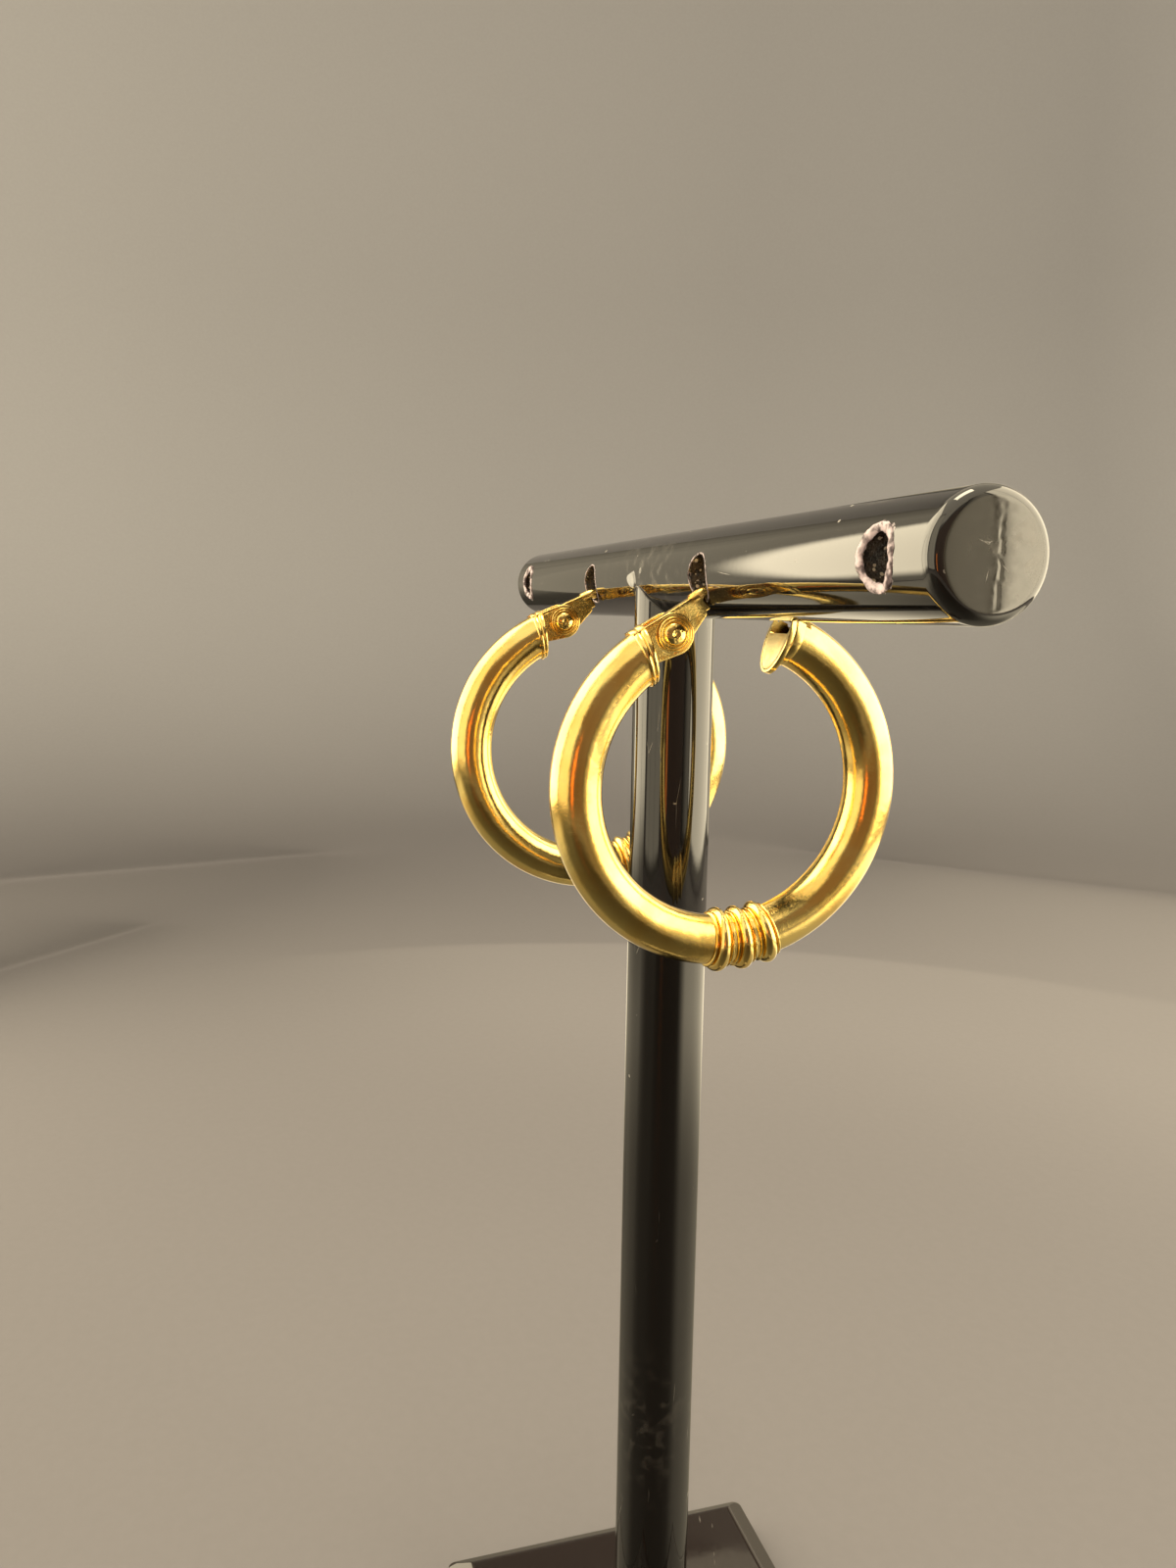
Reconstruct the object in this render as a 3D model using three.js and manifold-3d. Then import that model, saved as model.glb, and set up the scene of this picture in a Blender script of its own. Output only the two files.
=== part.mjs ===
import * as THREE from 'three';
import { mergeVertices } from 'three/addons/utils/BufferGeometryUtils.js';
import Module from 'manifold-3d';

// A pair of hinged hoop earrings hanging from a T-bar stand, in millimetres, +Z up.
// The origin is the centre of the stand's underside, and the cross bar runs along X.

// Stand
const baseSide = 30.5;
const baseThickness = 4;
const baseBevelWidth = 2;
const baseBevelDrop = 1.4;
const baseCornerRadius = 0.8;
const postDiameter = 6.2;
const barDiameter = 6.35;
const barLength = 80;
const barEndRounding = 0.7;
const barAxisHeight = 96.7;
const outerHoleX = 35;
const innerHoleX = 12.3;
const innerHoleDrop = 0.45; // the inner holes are drilled a little below the bar's axis
const holeDiameter = 2.9;
const glueGap = 0.05;

// Hoop. Angles are in degrees round the hoop's centre, from +Y towards +Z.
const hoopOuterDiameter = 25;
const tubeDiameter = 3.5;
const tubeWall = 0.35;
const collarDiameter = 3.85;
const collarWidth = 0.65;
const collarEdge = 0.12;
const hingeCollarAngle = 125.6;
const tipAngle = 72;
const tipCollarDiameter = 3.7;
const tipPlateThickness = 0.4;
const tipPlateHalfWidth = 1.72;
const tipPlateInnerRadius = 8.1; // the oval plate reaches further in than the tube
const tipSlotWidth = 2.8;
const tipSlotLength = 1.6;
const tipSlotFloorRadius = 10.9;
const beadSpacingAngle = 8.8;
const beadSectionRadius = 0.6;
const beadHeight = 0.48;

// Hinge
const rivetAngle = 113.6;
const rivetRingRadius = 11.18; // distance of the rivet from the hoop's centre
const earRadius = 1.4;
const earThickness = 0.5;
const earSlotWidth = 0.9;
const earSlotDepth = 1.65;
const earRootOuterRadius = 12.4;
const earRootInnerRadius = 10.15;
const rivetShaftRadius = 0.45;
const rivetHoleRadius = 0.52;
const rivetFlangeRadius = 1.15;
const rivetFlangeThickness = 0.14;
const rivetDomeRadius = 0.74;
const rivetDomeHeight = 0.3;
const rivetSeatGap = 0.04;

// Snap wire
const bladeThickness = 0.7;
const bladeEyeRadius = 1.3;
const wireRadius = 0.4;

// The blade's free corners, from its upper one down to its lower edge, measured from the hoop's centre
const bladeCorners = [
  { y: -2.22, z: 13.2 },
  { y: -2.3, z: 12.65 },
  { y: -1.75, z: 11.99 },
  { y: -1.95, z: 11.55 },
  { y: -2.75, z: 10.35 },
];

// The wire's route from inside the blade, through the bar's hole and down into the tip's slot
const wireRoute = [
  { y: -3.0, z: 12.45 },
  { y: -2.2, z: 12.93 },
  { y: -0.97, z: 13.2 },
  { y: 0.53, z: 13.45 },
  { y: 2.0, z: 13.68 },
  { y: 3.1, z: 13.72 },
  { y: 3.95, z: 13.3 },
  { y: 4.3, z: 12.5 },
  { y: 4.27, z: 11.1 },
];

// Where each earring hangs: its hoop's centre, how far it has turned about X, and where its beads sit
const earrings = [
  { name: 'near', x: innerHoleX, y: -0.5, drop: 14.4, turn: 0, beadAngle: -84 },
  { name: 'far', x: -innerHoleX, y: -2.7, drop: 14.45, turn: -8.2, beadAngle: -56.2 },
];

const rodSides = 40;
const tubeSides = 24;
const cavitySides = 10;
const rivetSides = 16;
const holeSides = 24;
const beadSectionSides = 8;
const cornerSegments = 5;
const plateArcSegments = 14;
const wireSides = 8;
const degreesPerTubeStep = 7.5;
const wireSteps = 30;
const overcut = 1; // how far a cutting tool runs past the faces that it opens
const weldDistance = 1e-4;

const tubeRadius = tubeDiameter / 2;
const ringRadius = (hoopOuterDiameter - tubeDiameter) / 2;
const barRadius = barDiameter / 2;
const forkThickness = earSlotWidth + 2 * earThickness;
const tipDegrees = millimetresToDegrees(tipPlateThickness);
const collarHalfDegrees = millimetresToDegrees(collarWidth / 2);

const gold = new THREE.MeshStandardMaterial({ color: 0xd9a441, roughness: 0.18, metalness: 1 });
const blackAcrylic = new THREE.MeshStandardMaterial({ color: 0x0c0b0c, roughness: 0.08, metalness: 0 });

const wasm = await Module();
wasm.setup();

function millimetresToDegrees(length) {
  return THREE.MathUtils.radToDeg(length / ringRadius);
}

function pointAt(radius, degrees) {
  const angle = THREE.MathUtils.degToRad(degrees);
  return new THREE.Vector2(radius * Math.cos(angle), radius * Math.sin(angle));
}

// A closed solid of a three.js geometry, with its seams welded and collapsed triangles left out
function solidOf(geometry) {
  const bare = geometry.clone();
  bare.deleteAttribute('normal');
  bare.deleteAttribute('uv');
  const welded = mergeVertices(bare, weldDistance);
  const corners = welded.index.array;
  const triangles = [];
  for (let i = 0; i < corners.length; i += 3) {
    const [a, b, c] = [corners[i], corners[i + 1], corners[i + 2]];
    if (a !== b && b !== c && c !== a) {
      triangles.push(a, b, c);
    }
  }
  return new wasm.Manifold(new wasm.Mesh({
    numProp: 3,
    vertProperties: new Float32Array(welded.attributes.position.array),
    triVerts: new Uint32Array(triangles),
  }));
}

function join(first, ...others) {
  return others.reduce((solid, geometry) => solid.add(solidOf(geometry)), solidOf(first));
}

function meshOf(name, solid, material) {
  const { vertProperties, triVerts } = solid.getMesh();
  const geometry = new THREE.BufferGeometry();
  geometry.setAttribute('position', new THREE.BufferAttribute(vertProperties, 3));
  geometry.setIndex(new THREE.BufferAttribute(triVerts, 1));
  geometry.computeVertexNormals();
  const mesh = new THREE.Mesh(geometry, material);
  mesh.name = name;
  return mesh;
}

// A round solid with its axis along X, from a profile of [along, radius] points
function latheAlongX(profile, sides) {
  const points = profile.map(([along, radius]) => new THREE.Vector2(radius, along));
  return new THREE.LatheGeometry(points, sides).rotateZ(-Math.PI / 2);
}

// A drilled hole along Y through the bar
function holeTool(x, z) {
  const length = barDiameter + 2 * overcut;
  return new THREE.CylinderGeometry(holeDiameter / 2, holeDiameter / 2, length, holeSides).translate(x, 0, z);
}

// The base: a square slab with rounded upright corners and a bevel along each top edge
function basePlate() {
  const half = baseSide / 2;
  const outline = new THREE.Shape();
  const corners = [[1, -1, -90], [1, 1, 0], [-1, 1, 90], [-1, -1, 180]];
  for (const [alongX, alongY, startDegrees] of corners) {
    const x = alongX * (half - baseCornerRadius);
    const y = alongY * (half - baseCornerRadius);
    const start = THREE.MathUtils.degToRad(startDegrees);
    outline.absarc(x, y, baseCornerRadius, start, start + Math.PI / 2, false);
  }
  let slab = solidOf(new THREE.ExtrudeGeometry(outline, {
    depth: baseThickness,
    bevelEnabled: false,
    curveSegments: cornerSegments,
  }));

  // A wedge lies along the +X edge, and its copies are turned to the other three
  const slope = baseBevelWidth / baseBevelDrop;
  const wedgeSection = new THREE.Shape([
    new THREE.Vector2(half - baseBevelWidth - slope * overcut, baseThickness + overcut),
    new THREE.Vector2(half + slope * overcut, baseThickness - baseBevelDrop - overcut),
    new THREE.Vector2(half + slope * overcut, baseThickness + overcut),
  ]);
  const wedgeLength = baseSide + 2 * overcut;
  for (let side = 0; side < 4; side += 1) {
    const wedge = new THREE.ExtrudeGeometry(wedgeSection, { depth: wedgeLength, bevelEnabled: false });
    wedge.rotateX(Math.PI / 2).translate(0, wedgeLength / 2, 0).rotateZ((side * Math.PI) / 2);
    slab = slab.subtract(solidOf(wedge));
  }
  return slab;
}

// The cross bar: a round rod with rounded end edges and four holes across it
function crossBar() {
  const end = barLength / 2;
  const rounding = [0, 1, 2, 3].map((step) => {
    const angle = (step / 3) * (Math.PI / 2);
    const along = end - barEndRounding * (1 - Math.sin(angle));
    return [along, barRadius - barEndRounding * (1 - Math.cos(angle))];
  });
  const nearHalf = [...rounding, [end, 0]];
  const farHalf = nearHalf.map(([along, radius]) => [-along, radius]).reverse();
  let bar = solidOf(latheAlongX([...farHalf, ...nearHalf], rodSides));
  for (const side of [-1, 1]) {
    bar = bar.subtract(solidOf(holeTool(side * outerHoleX, 0)));
    bar = bar.subtract(solidOf(holeTool(side * innerHoleX, -innerHoleDrop)));
  }
  return bar.translate([0, 0, barAxisHeight]);
}

// The post: a round rod whose top is coped to the underside of the bar
function uprightPost() {
  const bottom = baseThickness + glueGap;
  const height = barAxisHeight - bottom;
  const rod = new THREE.CylinderGeometry(postDiameter / 2, postDiameter / 2, height, rodSides);
  rod.rotateX(Math.PI / 2).translate(0, 0, bottom + height / 2);
  const copeRadius = barRadius + glueGap;
  const cope = new THREE.CylinderGeometry(copeRadius, copeRadius, barDiameter * 2, rodSides);
  cope.rotateZ(Math.PI / 2).translate(0, 0, barAxisHeight);
  return solidOf(rod).subtract(solidOf(cope));
}

// A round section swept along the hoop's circle between two angles
class HoopArc extends THREE.Curve {
  constructor(startDegrees, endDegrees) {
    super();
    this.startDegrees = startDegrees;
    this.endDegrees = endDegrees;
  }

  getPoint(t, target = new THREE.Vector3()) {
    const point = pointAt(ringRadius, THREE.MathUtils.lerp(this.startDegrees, this.endDegrees, t));
    return target.set(0, point.x, point.y);
  }
}

function roundSection(radius, sides) {
  const corners = [];
  for (let side = 0; side < sides; side += 1) {
    corners.push(pointAt(radius, (360 * side) / sides));
  }
  return new THREE.Shape(corners);
}

function sweptTube(radius, sides, startDegrees, endDegrees) {
  return new THREE.ExtrudeGeometry(roundSection(radius, sides), {
    steps: Math.ceil((endDegrees - startDegrees) / degreesPerTubeStep),
    bevelEnabled: false,
    extrudePath: new HoopArc(startDegrees, endDegrees),
  });
}

// Turns a geometry whose axis is +Y onto the tube's own direction at an angle round the hoop
function seatOnTube(geometry, degrees) {
  const centre = pointAt(ringRadius, degrees);
  return geometry.rotateX(THREE.MathUtils.degToRad(degrees + 90)).translate(0, centre.x, centre.y);
}

// A short collar round the tube, with its edges broken
function collar(diameter, degrees) {
  const radius = diameter / 2;
  const half = collarWidth / 2;
  const profile = [
    [0, -half],
    [radius - collarEdge, -half],
    [radius, -half + collarEdge],
    [radius, half - collarEdge],
    [radius - collarEdge, half],
    [0, half],
  ];
  const points = profile.map(([across, along]) => new THREE.Vector2(across, along));
  return seatOnTube(new THREE.LatheGeometry(points, tubeSides), degrees);
}

// One raised bead round the tube
function bead(degrees) {
  const radius = tubeRadius + beadHeight - beadSectionRadius;
  const torus = new THREE.TorusGeometry(radius, beadSectionRadius, beadSectionSides, tubeSides);
  return seatOnTube(torus.rotateX(Math.PI / 2), degrees);
}

// Extrudes an outline drawn in (y, z), centred on the hoop's plane
function plateAcrossX(shape, thickness) {
  const plate = new THREE.ExtrudeGeometry(shape, {
    depth: thickness,
    bevelEnabled: false,
    curveSegments: plateArcSegments,
  });
  const yzToWorld = new THREE.Matrix4().makeBasis(
    new THREE.Vector3(0, 1, 0),
    new THREE.Vector3(0, 0, 1),
    new THREE.Vector3(1, 0, 0),
  );
  return plate.applyMatrix4(yzToWorld).translate(-thickness / 2, 0, 0);
}

// A cylinder along X at the rivet
function rivetTool(radius, length) {
  const rivet = pointAt(rivetRingRadius, rivetAngle);
  const tool = new THREE.CylinderGeometry(radius, radius, length, rivetSides);
  return tool.rotateZ(Math.PI / 2).translate(0, rivet.x, rivet.y);
}

// The fork's block, from the collar to the round end that carries the rivet
function forkBlock() {
  const rivet = pointAt(rivetRingRadius, rivetAngle);
  const rootOuter = pointAt(earRootOuterRadius, hingeCollarAngle);
  const rootInner = pointAt(earRootInnerRadius, hingeCollarAngle);
  const topTangent = tangentDirection(rivet, earRadius, rootOuter, -1);
  const lowTangent = tangentDirection(rivet, earRadius, rootInner, 1);
  const outline = new THREE.Shape();
  outline.moveTo(rootOuter.x, rootOuter.y);
  outline.absarc(rivet.x, rivet.y, earRadius, topTangent, lowTangent, true);
  outline.lineTo(rootInner.x, rootInner.y);
  outline.closePath();
  return plateAcrossX(outline, forkThickness);
}

// The direction from a circle's centre to where the line from an outside point touches it
function tangentDirection(centre, radius, outside, side) {
  const offset = outside.clone().sub(centre);
  return Math.atan2(offset.y, offset.x) + side * Math.acos(radius / offset.length());
}

// The cut between the two ears, down to a flat floor short of the collar
function forkSlotTool() {
  const rivet = pointAt(rivetRingRadius, rivetAngle);
  const root = pointAt(ringRadius, hingeCollarAngle);
  const towardsRoot = root.clone().sub(rivet);
  const reach = earRadius + overcut;
  const length = reach + earSlotDepth;
  const box = new THREE.BoxGeometry(earSlotWidth, length, 2 * reach);
  box.translate(0, earSlotDepth - length / 2, 0);
  return box.rotateX(towardsRoot.angle()).translate(0, rivet.x, rivet.y);
}

// The oval plate on the tube's free end, longer towards the hoop's centre
function tipPlate() {
  const outline = new THREE.Shape();
  outline.absellipse(0, 0, tipPlateHalfWidth, tipPlateHalfWidth, 0, Math.PI, false);
  outline.absellipse(0, 0, tipPlateHalfWidth, ringRadius - tipPlateInnerRadius, Math.PI, 2 * Math.PI, false);
  const plate = new THREE.ExtrudeGeometry(outline, {
    depth: tipPlateThickness,
    bevelEnabled: false,
    curveSegments: plateArcSegments,
  });
  return seatOnTube(plate.rotateX(-Math.PI / 2).translate(0, -tipPlateThickness, 0), tipAngle);
}

// The slot in the top of the tip, open through the end plate and the tube's outer wall
function tipSlotTool() {
  const height = 2 * tubeRadius;
  const length = tipSlotLength + overcut;
  const box = new THREE.BoxGeometry(tipSlotWidth, length, height);
  const rise = tipSlotFloorRadius - ringRadius + height / 2;
  return seatOnTube(box.translate(0, overcut - length / 2, -rise), tipAngle);
}

// A hollow hoop with its collars, beads, end plate and hinge fork, soldered into one piece
function hoop(beadAngle) {
  const tubeStart = hingeCollarAngle;
  const tubeEnd = 360 + tipAngle;
  const tube = sweptTube(tubeRadius, tubeSides, tubeStart, tubeEnd);
  const tipCollarAngle = tipAngle - tipDegrees - collarHalfDegrees;
  const beads = [-1, 0, 1].map((place) => bead(beadAngle + place * beadSpacingAngle));
  const body = join(
    tube,
    collar(collarDiameter, hingeCollarAngle),
    collar(tipCollarDiameter, tipCollarAngle),
    ...beads,
    tipPlate(),
    forkBlock(),
  );
  const cavityStart = tubeStart + 2 * collarHalfDegrees;
  const cavity = sweptTube(tubeRadius - tubeWall, cavitySides, cavityStart, tubeEnd - tipDegrees);
  return body
    .subtract(solidOf(cavity))
    .subtract(solidOf(tipSlotTool()))
    .subtract(solidOf(forkSlotTool()))
    .subtract(solidOf(rivetTool(rivetHoleRadius, forkThickness + 2 * overcut)));
}

// The hinge rivet, with a flange and a dome on each side of the fork
function hingeRivet() {
  const seat = forkThickness / 2 + rivetSeatGap;
  const flangeTop = seat + rivetFlangeThickness;
  const dome = [0, 30, 60, 90].map((degrees) => {
    const angle = THREE.MathUtils.degToRad(degrees);
    return [flangeTop + rivetDomeHeight * Math.sin(angle), rivetDomeRadius * Math.cos(angle)];
  });
  dome[dome.length - 1][1] = 0;
  const head = [
    [seat, rivetShaftRadius],
    [seat, rivetFlangeRadius],
    [flangeTop, rivetFlangeRadius],
    ...dome,
  ];
  const otherHead = head.map(([along, radius]) => [-along, radius]).reverse();
  const rivet = pointAt(rivetRingRadius, rivetAngle);
  return solidOf(latheAlongX([...otherHead, ...head], rivetSides)).translate([0, rivet.x, rivet.y]);
}

// The snap wire: a flat blade that turns on the rivet, and the round wire that closes the hoop
function snapWire() {
  const rivet = pointAt(rivetRingRadius, rivetAngle);
  const corners = bladeCorners.map(({ y, z }) => new THREE.Vector2(y, z));
  const topTangent = tangentDirection(rivet, bladeEyeRadius, corners[0], 1);
  const lowTangent = tangentDirection(rivet, bladeEyeRadius, corners[corners.length - 1], -1);
  const outline = new THREE.Shape();
  outline.absarc(rivet.x, rivet.y, bladeEyeRadius, topTangent, lowTangent + 2 * Math.PI, false);
  for (const corner of [...corners].reverse()) {
    outline.lineTo(corner.x, corner.y);
  }
  outline.closePath();
  const route = new THREE.CatmullRomCurve3(wireRoute.map(({ y, z }) => new THREE.Vector3(0, y, z)));
  const wire = new THREE.ExtrudeGeometry(roundSection(wireRadius, wireSides), {
    steps: wireSteps,
    bevelEnabled: false,
    extrudePath: route,
  });
  const eye = rivetTool(rivetHoleRadius, bladeThickness + 2 * overcut);
  return join(plateAcrossX(outline, bladeThickness), wire).subtract(solidOf(eye));
}

// One earring, hung where its row of the table says
function earring({ name, x, y, drop, turn, beadAngle }) {
  const group = new THREE.Group();
  group.add(
    meshOf(`${name}_hoop`, hoop(beadAngle), gold),
    meshOf(`${name}_hinge_rivet`, hingeRivet(), gold),
    meshOf(`${name}_snap_wire`, snapWire(), gold),
  );
  group.position.set(x, y, barAxisHeight - drop);
  group.rotation.x = THREE.MathUtils.degToRad(turn);
  return group;
}

const model = new THREE.Group();
model.add(
  meshOf('base_plate', basePlate(), blackAcrylic),
  meshOf('upright_post', uprightPost(), blackAcrylic),
  meshOf('cross_bar', crossBar(), blackAcrylic),
  ...earrings.map(earring),
);

export default model;
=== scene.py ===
import math

import bmesh
import bpy
import numpy as np
from mathutils import Matrix, Vector, noise


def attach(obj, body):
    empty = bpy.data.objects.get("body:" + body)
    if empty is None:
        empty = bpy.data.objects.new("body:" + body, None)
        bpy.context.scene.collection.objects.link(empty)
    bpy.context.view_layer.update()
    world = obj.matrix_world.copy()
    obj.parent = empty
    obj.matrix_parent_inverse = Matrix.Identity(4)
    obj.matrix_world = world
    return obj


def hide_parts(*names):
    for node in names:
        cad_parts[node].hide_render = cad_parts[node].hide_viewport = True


# A pair of gold hinged hoop earrings on a black acrylic T-bar stand.
# Lengths in the dictionaries are in millimetres and angles in degrees.
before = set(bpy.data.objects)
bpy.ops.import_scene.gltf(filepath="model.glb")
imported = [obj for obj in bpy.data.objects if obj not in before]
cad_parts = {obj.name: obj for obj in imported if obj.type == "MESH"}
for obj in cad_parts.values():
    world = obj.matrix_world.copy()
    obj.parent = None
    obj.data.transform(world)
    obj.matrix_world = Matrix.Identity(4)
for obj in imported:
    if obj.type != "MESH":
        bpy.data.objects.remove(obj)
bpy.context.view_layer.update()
print("stage: frame loaded")

metresPerMillimetre = 0.001


# Mesh tools. They work in millimetres, and settle() turns a piece into metres.

def roughness(point, scale, seed=0.0):
    return noise.noise(Vector(point) * scale + Vector((seed, 0.0, 0.0)))


# The cosine and sine of evenly spaced turns round a circle
def roundTurns(count):
    turns = [2 * math.pi * side / count for side in range(count)]
    return [(math.cos(turn), math.sin(turn)) for turn in turns]


# Joins rings of points into a closed skin. A ring of one point is a pole.
def skinRings(rings):
    points, faces, starts = [], [], []
    for ring in rings:
        starts.append(len(points))
        points.extend(tuple(float(value) for value in point) for point in ring)
    for row in range(len(rings) - 1):
        low, high = rings[row], rings[row + 1]
        for side in range(max(len(low), len(high))):
            corners = [
                starts[row] + side % len(low),
                starts[row] + (side + 1) % len(low),
                starts[row + 1] + (side + 1) % len(high),
                starts[row + 1] + side % len(high),
            ]
            corners = list(dict.fromkeys(corners))
            if len(corners) > 2:
                faces.append(corners)
    if len(rings[0]) > 1:
        faces.append([starts[0] + side for side in reversed(range(len(rings[0])))])
    if len(rings[-1]) > 1:
        faces.append([starts[-1] + side for side in range(len(rings[-1]))])
    return points, faces


# Joins rings round a closed loop, such as the rim of a hole
def skinLoop(rings):
    count, sides = len(rings), len(rings[0])
    points = [tuple(float(value) for value in point) for ring in rings for point in ring]
    faces = []
    for row in range(count):
        for side in range(sides):
            faces.append([
                row * sides + side,
                row * sides + (side + 1) % sides,
                (row + 1) % count * sides + (side + 1) % sides,
                (row + 1) % count * sides + side,
            ])
    return points, faces


def addObject(name, data):
    made = bpy.data.objects.new(name, data)
    bpy.context.scene.collection.objects.link(made)
    return made


def addPiece(name, skin):
    points, faces = skin
    mesh = bpy.data.meshes.new(name)
    mesh.from_pydata(points, [], faces)
    shape = bmesh.new()
    shape.from_mesh(mesh)
    bmesh.ops.recalc_face_normals(shape, faces=shape.faces)
    shape.to_mesh(mesh)
    shape.free()
    return addObject(name, mesh)


# Joins the tools to a piece or cuts them out of it, and removes them
def combine(piece, tools, operation):
    for tool in tools:
        modifier = piece.modifiers.new("combine", "BOOLEAN")
        modifier.operation = operation
        modifier.solver = "MANIFOLD"
        modifier.object = tool
        bpy.context.view_layer.update()
        shaped = piece.evaluated_get(bpy.context.evaluated_depsgraph_get())
        mesh = bpy.data.meshes.new_from_object(shaped)
        piece.modifiers.clear()
        old = piece.data
        piece.data = mesh
        bpy.data.meshes.remove(old)
        bpy.data.objects.remove(tool)
    shape = bmesh.new()
    shape.from_mesh(piece.data)
    bmesh.ops.remove_doubles(shape, verts=shape.verts, dist=weldDistance)
    bmesh.ops.dissolve_degenerate(shape, edges=shape.edges, dist=weldDistance)
    shape.to_mesh(piece.data)
    shape.free()


weldDistance = 0.0005


# Puts a finished piece in its place, in metres, on its body and with its finish
def settle(piece, body, finishes, nodes=(), place=None, sharpAngle=30, pick=None):
    mesh = piece.data
    if place is not None:
        mesh.transform(place)
    mesh.transform(Matrix.Scale(metresPerMillimetre, 4))
    mesh.shade_smooth()
    mesh.set_sharp_from_angle(angle=math.radians(sharpAngle))
    mesh.materials.clear()
    for finish in finishes:
        mesh.materials.append(finish)
    if pick is not None:
        for face in mesh.polygons:
            face.material_index = pick(face)
    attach(piece, body)
    if nodes:
        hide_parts(*nodes)
    print("stage:", piece.name, len(mesh.vertices), "points")


# A round solid turned about X, Y or Z, from (along, radius) points. A radius of 0 is a pole.
def turned(profile, sides, axis):
    order = {"x": (2, 0, 1), "y": (1, 2, 0), "z": (0, 1, 2)}[axis]
    rings = []
    for along, radius in profile:
        turns = roundTurns(sides if radius > 0 else 1)
        flats = [(radius * cosine, radius * sine, along) for cosine, sine in turns]
        rings.append(np.array([[flat[row] for row in order] for flat in flats]))
    return rings


# Node tools

def addNode(tree, kind, place, **settings):
    made = tree.nodes.new(kind)
    made.location = (place[0] * 200, place[1] * 160)
    for label, value in settings.items():
        setattr(made, label, value)
    return made


def feed(tree, socket, source):
    if hasattr(source, "is_output"):
        tree.links.new(source, socket)
    else:
        socket.default_value = source


def addMath(tree, place, operation, *sources, clamp=False):
    made = addNode(tree, "ShaderNodeMath", place, operation=operation, use_clamp=clamp)
    for socket, source in zip(made.inputs, sources):
        feed(tree, socket, source)
    return made.outputs[0]


# Maps a value between two limits to 0 to 1, or to the two ends given
def addRange(tree, place, value, low, high, start=0.0, end=1.0):
    made = addNode(tree, "ShaderNodeMapRange", place, interpolation_type="SMOOTHSTEP")
    for label, source in zip(("Value", "From Min", "From Max", "To Min", "To Max"),
                             (value, low, high, start, end)):
        feed(tree, made.inputs[label], source)
    return made.outputs["Result"]


def addMix(tree, place, share, first, second):
    made = addNode(tree, "ShaderNodeMix", place, data_type="RGBA")
    feed(tree, made.inputs["Factor"], share)
    feed(tree, made.inputs[6], first)
    feed(tree, made.inputs[7], second)
    return made.outputs[2]


def startGroup(name, inputs, outputs):
    tree = bpy.data.node_groups.new(name, "ShaderNodeTree")
    for label, kind, value in inputs:
        socket = tree.interface.new_socket(name=label, in_out="INPUT", socket_type=kind)
        if value is not None:
            socket.default_value = value
    for label, kind in outputs:
        tree.interface.new_socket(name=label, in_out="OUTPUT", socket_type=kind)
    start = addNode(tree, "NodeGroupInput", (-6, 0))
    end = addNode(tree, "NodeGroupOutput", (6, 0))
    return tree, start.outputs, end.inputs


def addGroup(tree, group, place, **values):
    made = addNode(tree, "ShaderNodeGroup", place, node_tree=group)
    for label, source in values.items():
        feed(tree, made.inputs[label], source)
    return made.outputs


floatSocket, vectorSocket = "NodeSocketFloat", "NodeSocketVector"


# Fine even grain. Size is in millimetres.
def buildGrain():
    tree, given, result = startGroup("fineGrain", [
        ("Position", vectorSocket, None), ("Size", floatSocket, 0.1), ("Contrast", floatSocket, 0.5),
    ], [("Grain", floatSocket)])
    scale = addMath(tree, (-4, -1), "DIVIDE", 1.0, given["Size"])
    grain = addNode(tree, "ShaderNodeTexNoise", (-2, 0))
    tree.links.new(given["Position"], grain.inputs["Vector"])
    tree.links.new(scale, grain.inputs["Scale"])
    grain.inputs["Detail"].default_value = 3.0
    grain.inputs["Roughness"].default_value = 0.6
    half = addMath(tree, (0, -1), "MULTIPLY", given["Contrast"], 0.5)
    low = addMath(tree, (1, -1), "SUBTRACT", 0.5, half)
    high = addMath(tree, (1, -2), "ADD", 0.5, half)
    tree.links.new(addRange(tree, (3, 0), grain.outputs[0], low, high), result["Grain"])
    return tree


# Soft clouds of tone, for tarnish and handling marks
def buildClouds():
    tree, given, result = startGroup("softClouds", [
        ("Position", vectorSocket, None), ("Size", floatSocket, 3.0),
        ("Low", floatSocket, 0.4), ("High", floatSocket, 0.65),
    ], [("Cloud", floatSocket)])
    scale = addMath(tree, (-4, -1), "DIVIDE", 1.0, given["Size"])
    cloud = addNode(tree, "ShaderNodeTexNoise", (-2, 0))
    tree.links.new(given["Position"], cloud.inputs["Vector"])
    tree.links.new(scale, cloud.inputs["Scale"])
    cloud.inputs["Detail"].default_value = 5.0
    cloud.inputs["Distortion"].default_value = 0.4
    spread = addRange(tree, (2, 0), cloud.outputs[0], given["Low"], given["High"])
    tree.links.new(spread, result["Cloud"])
    return tree


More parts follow.
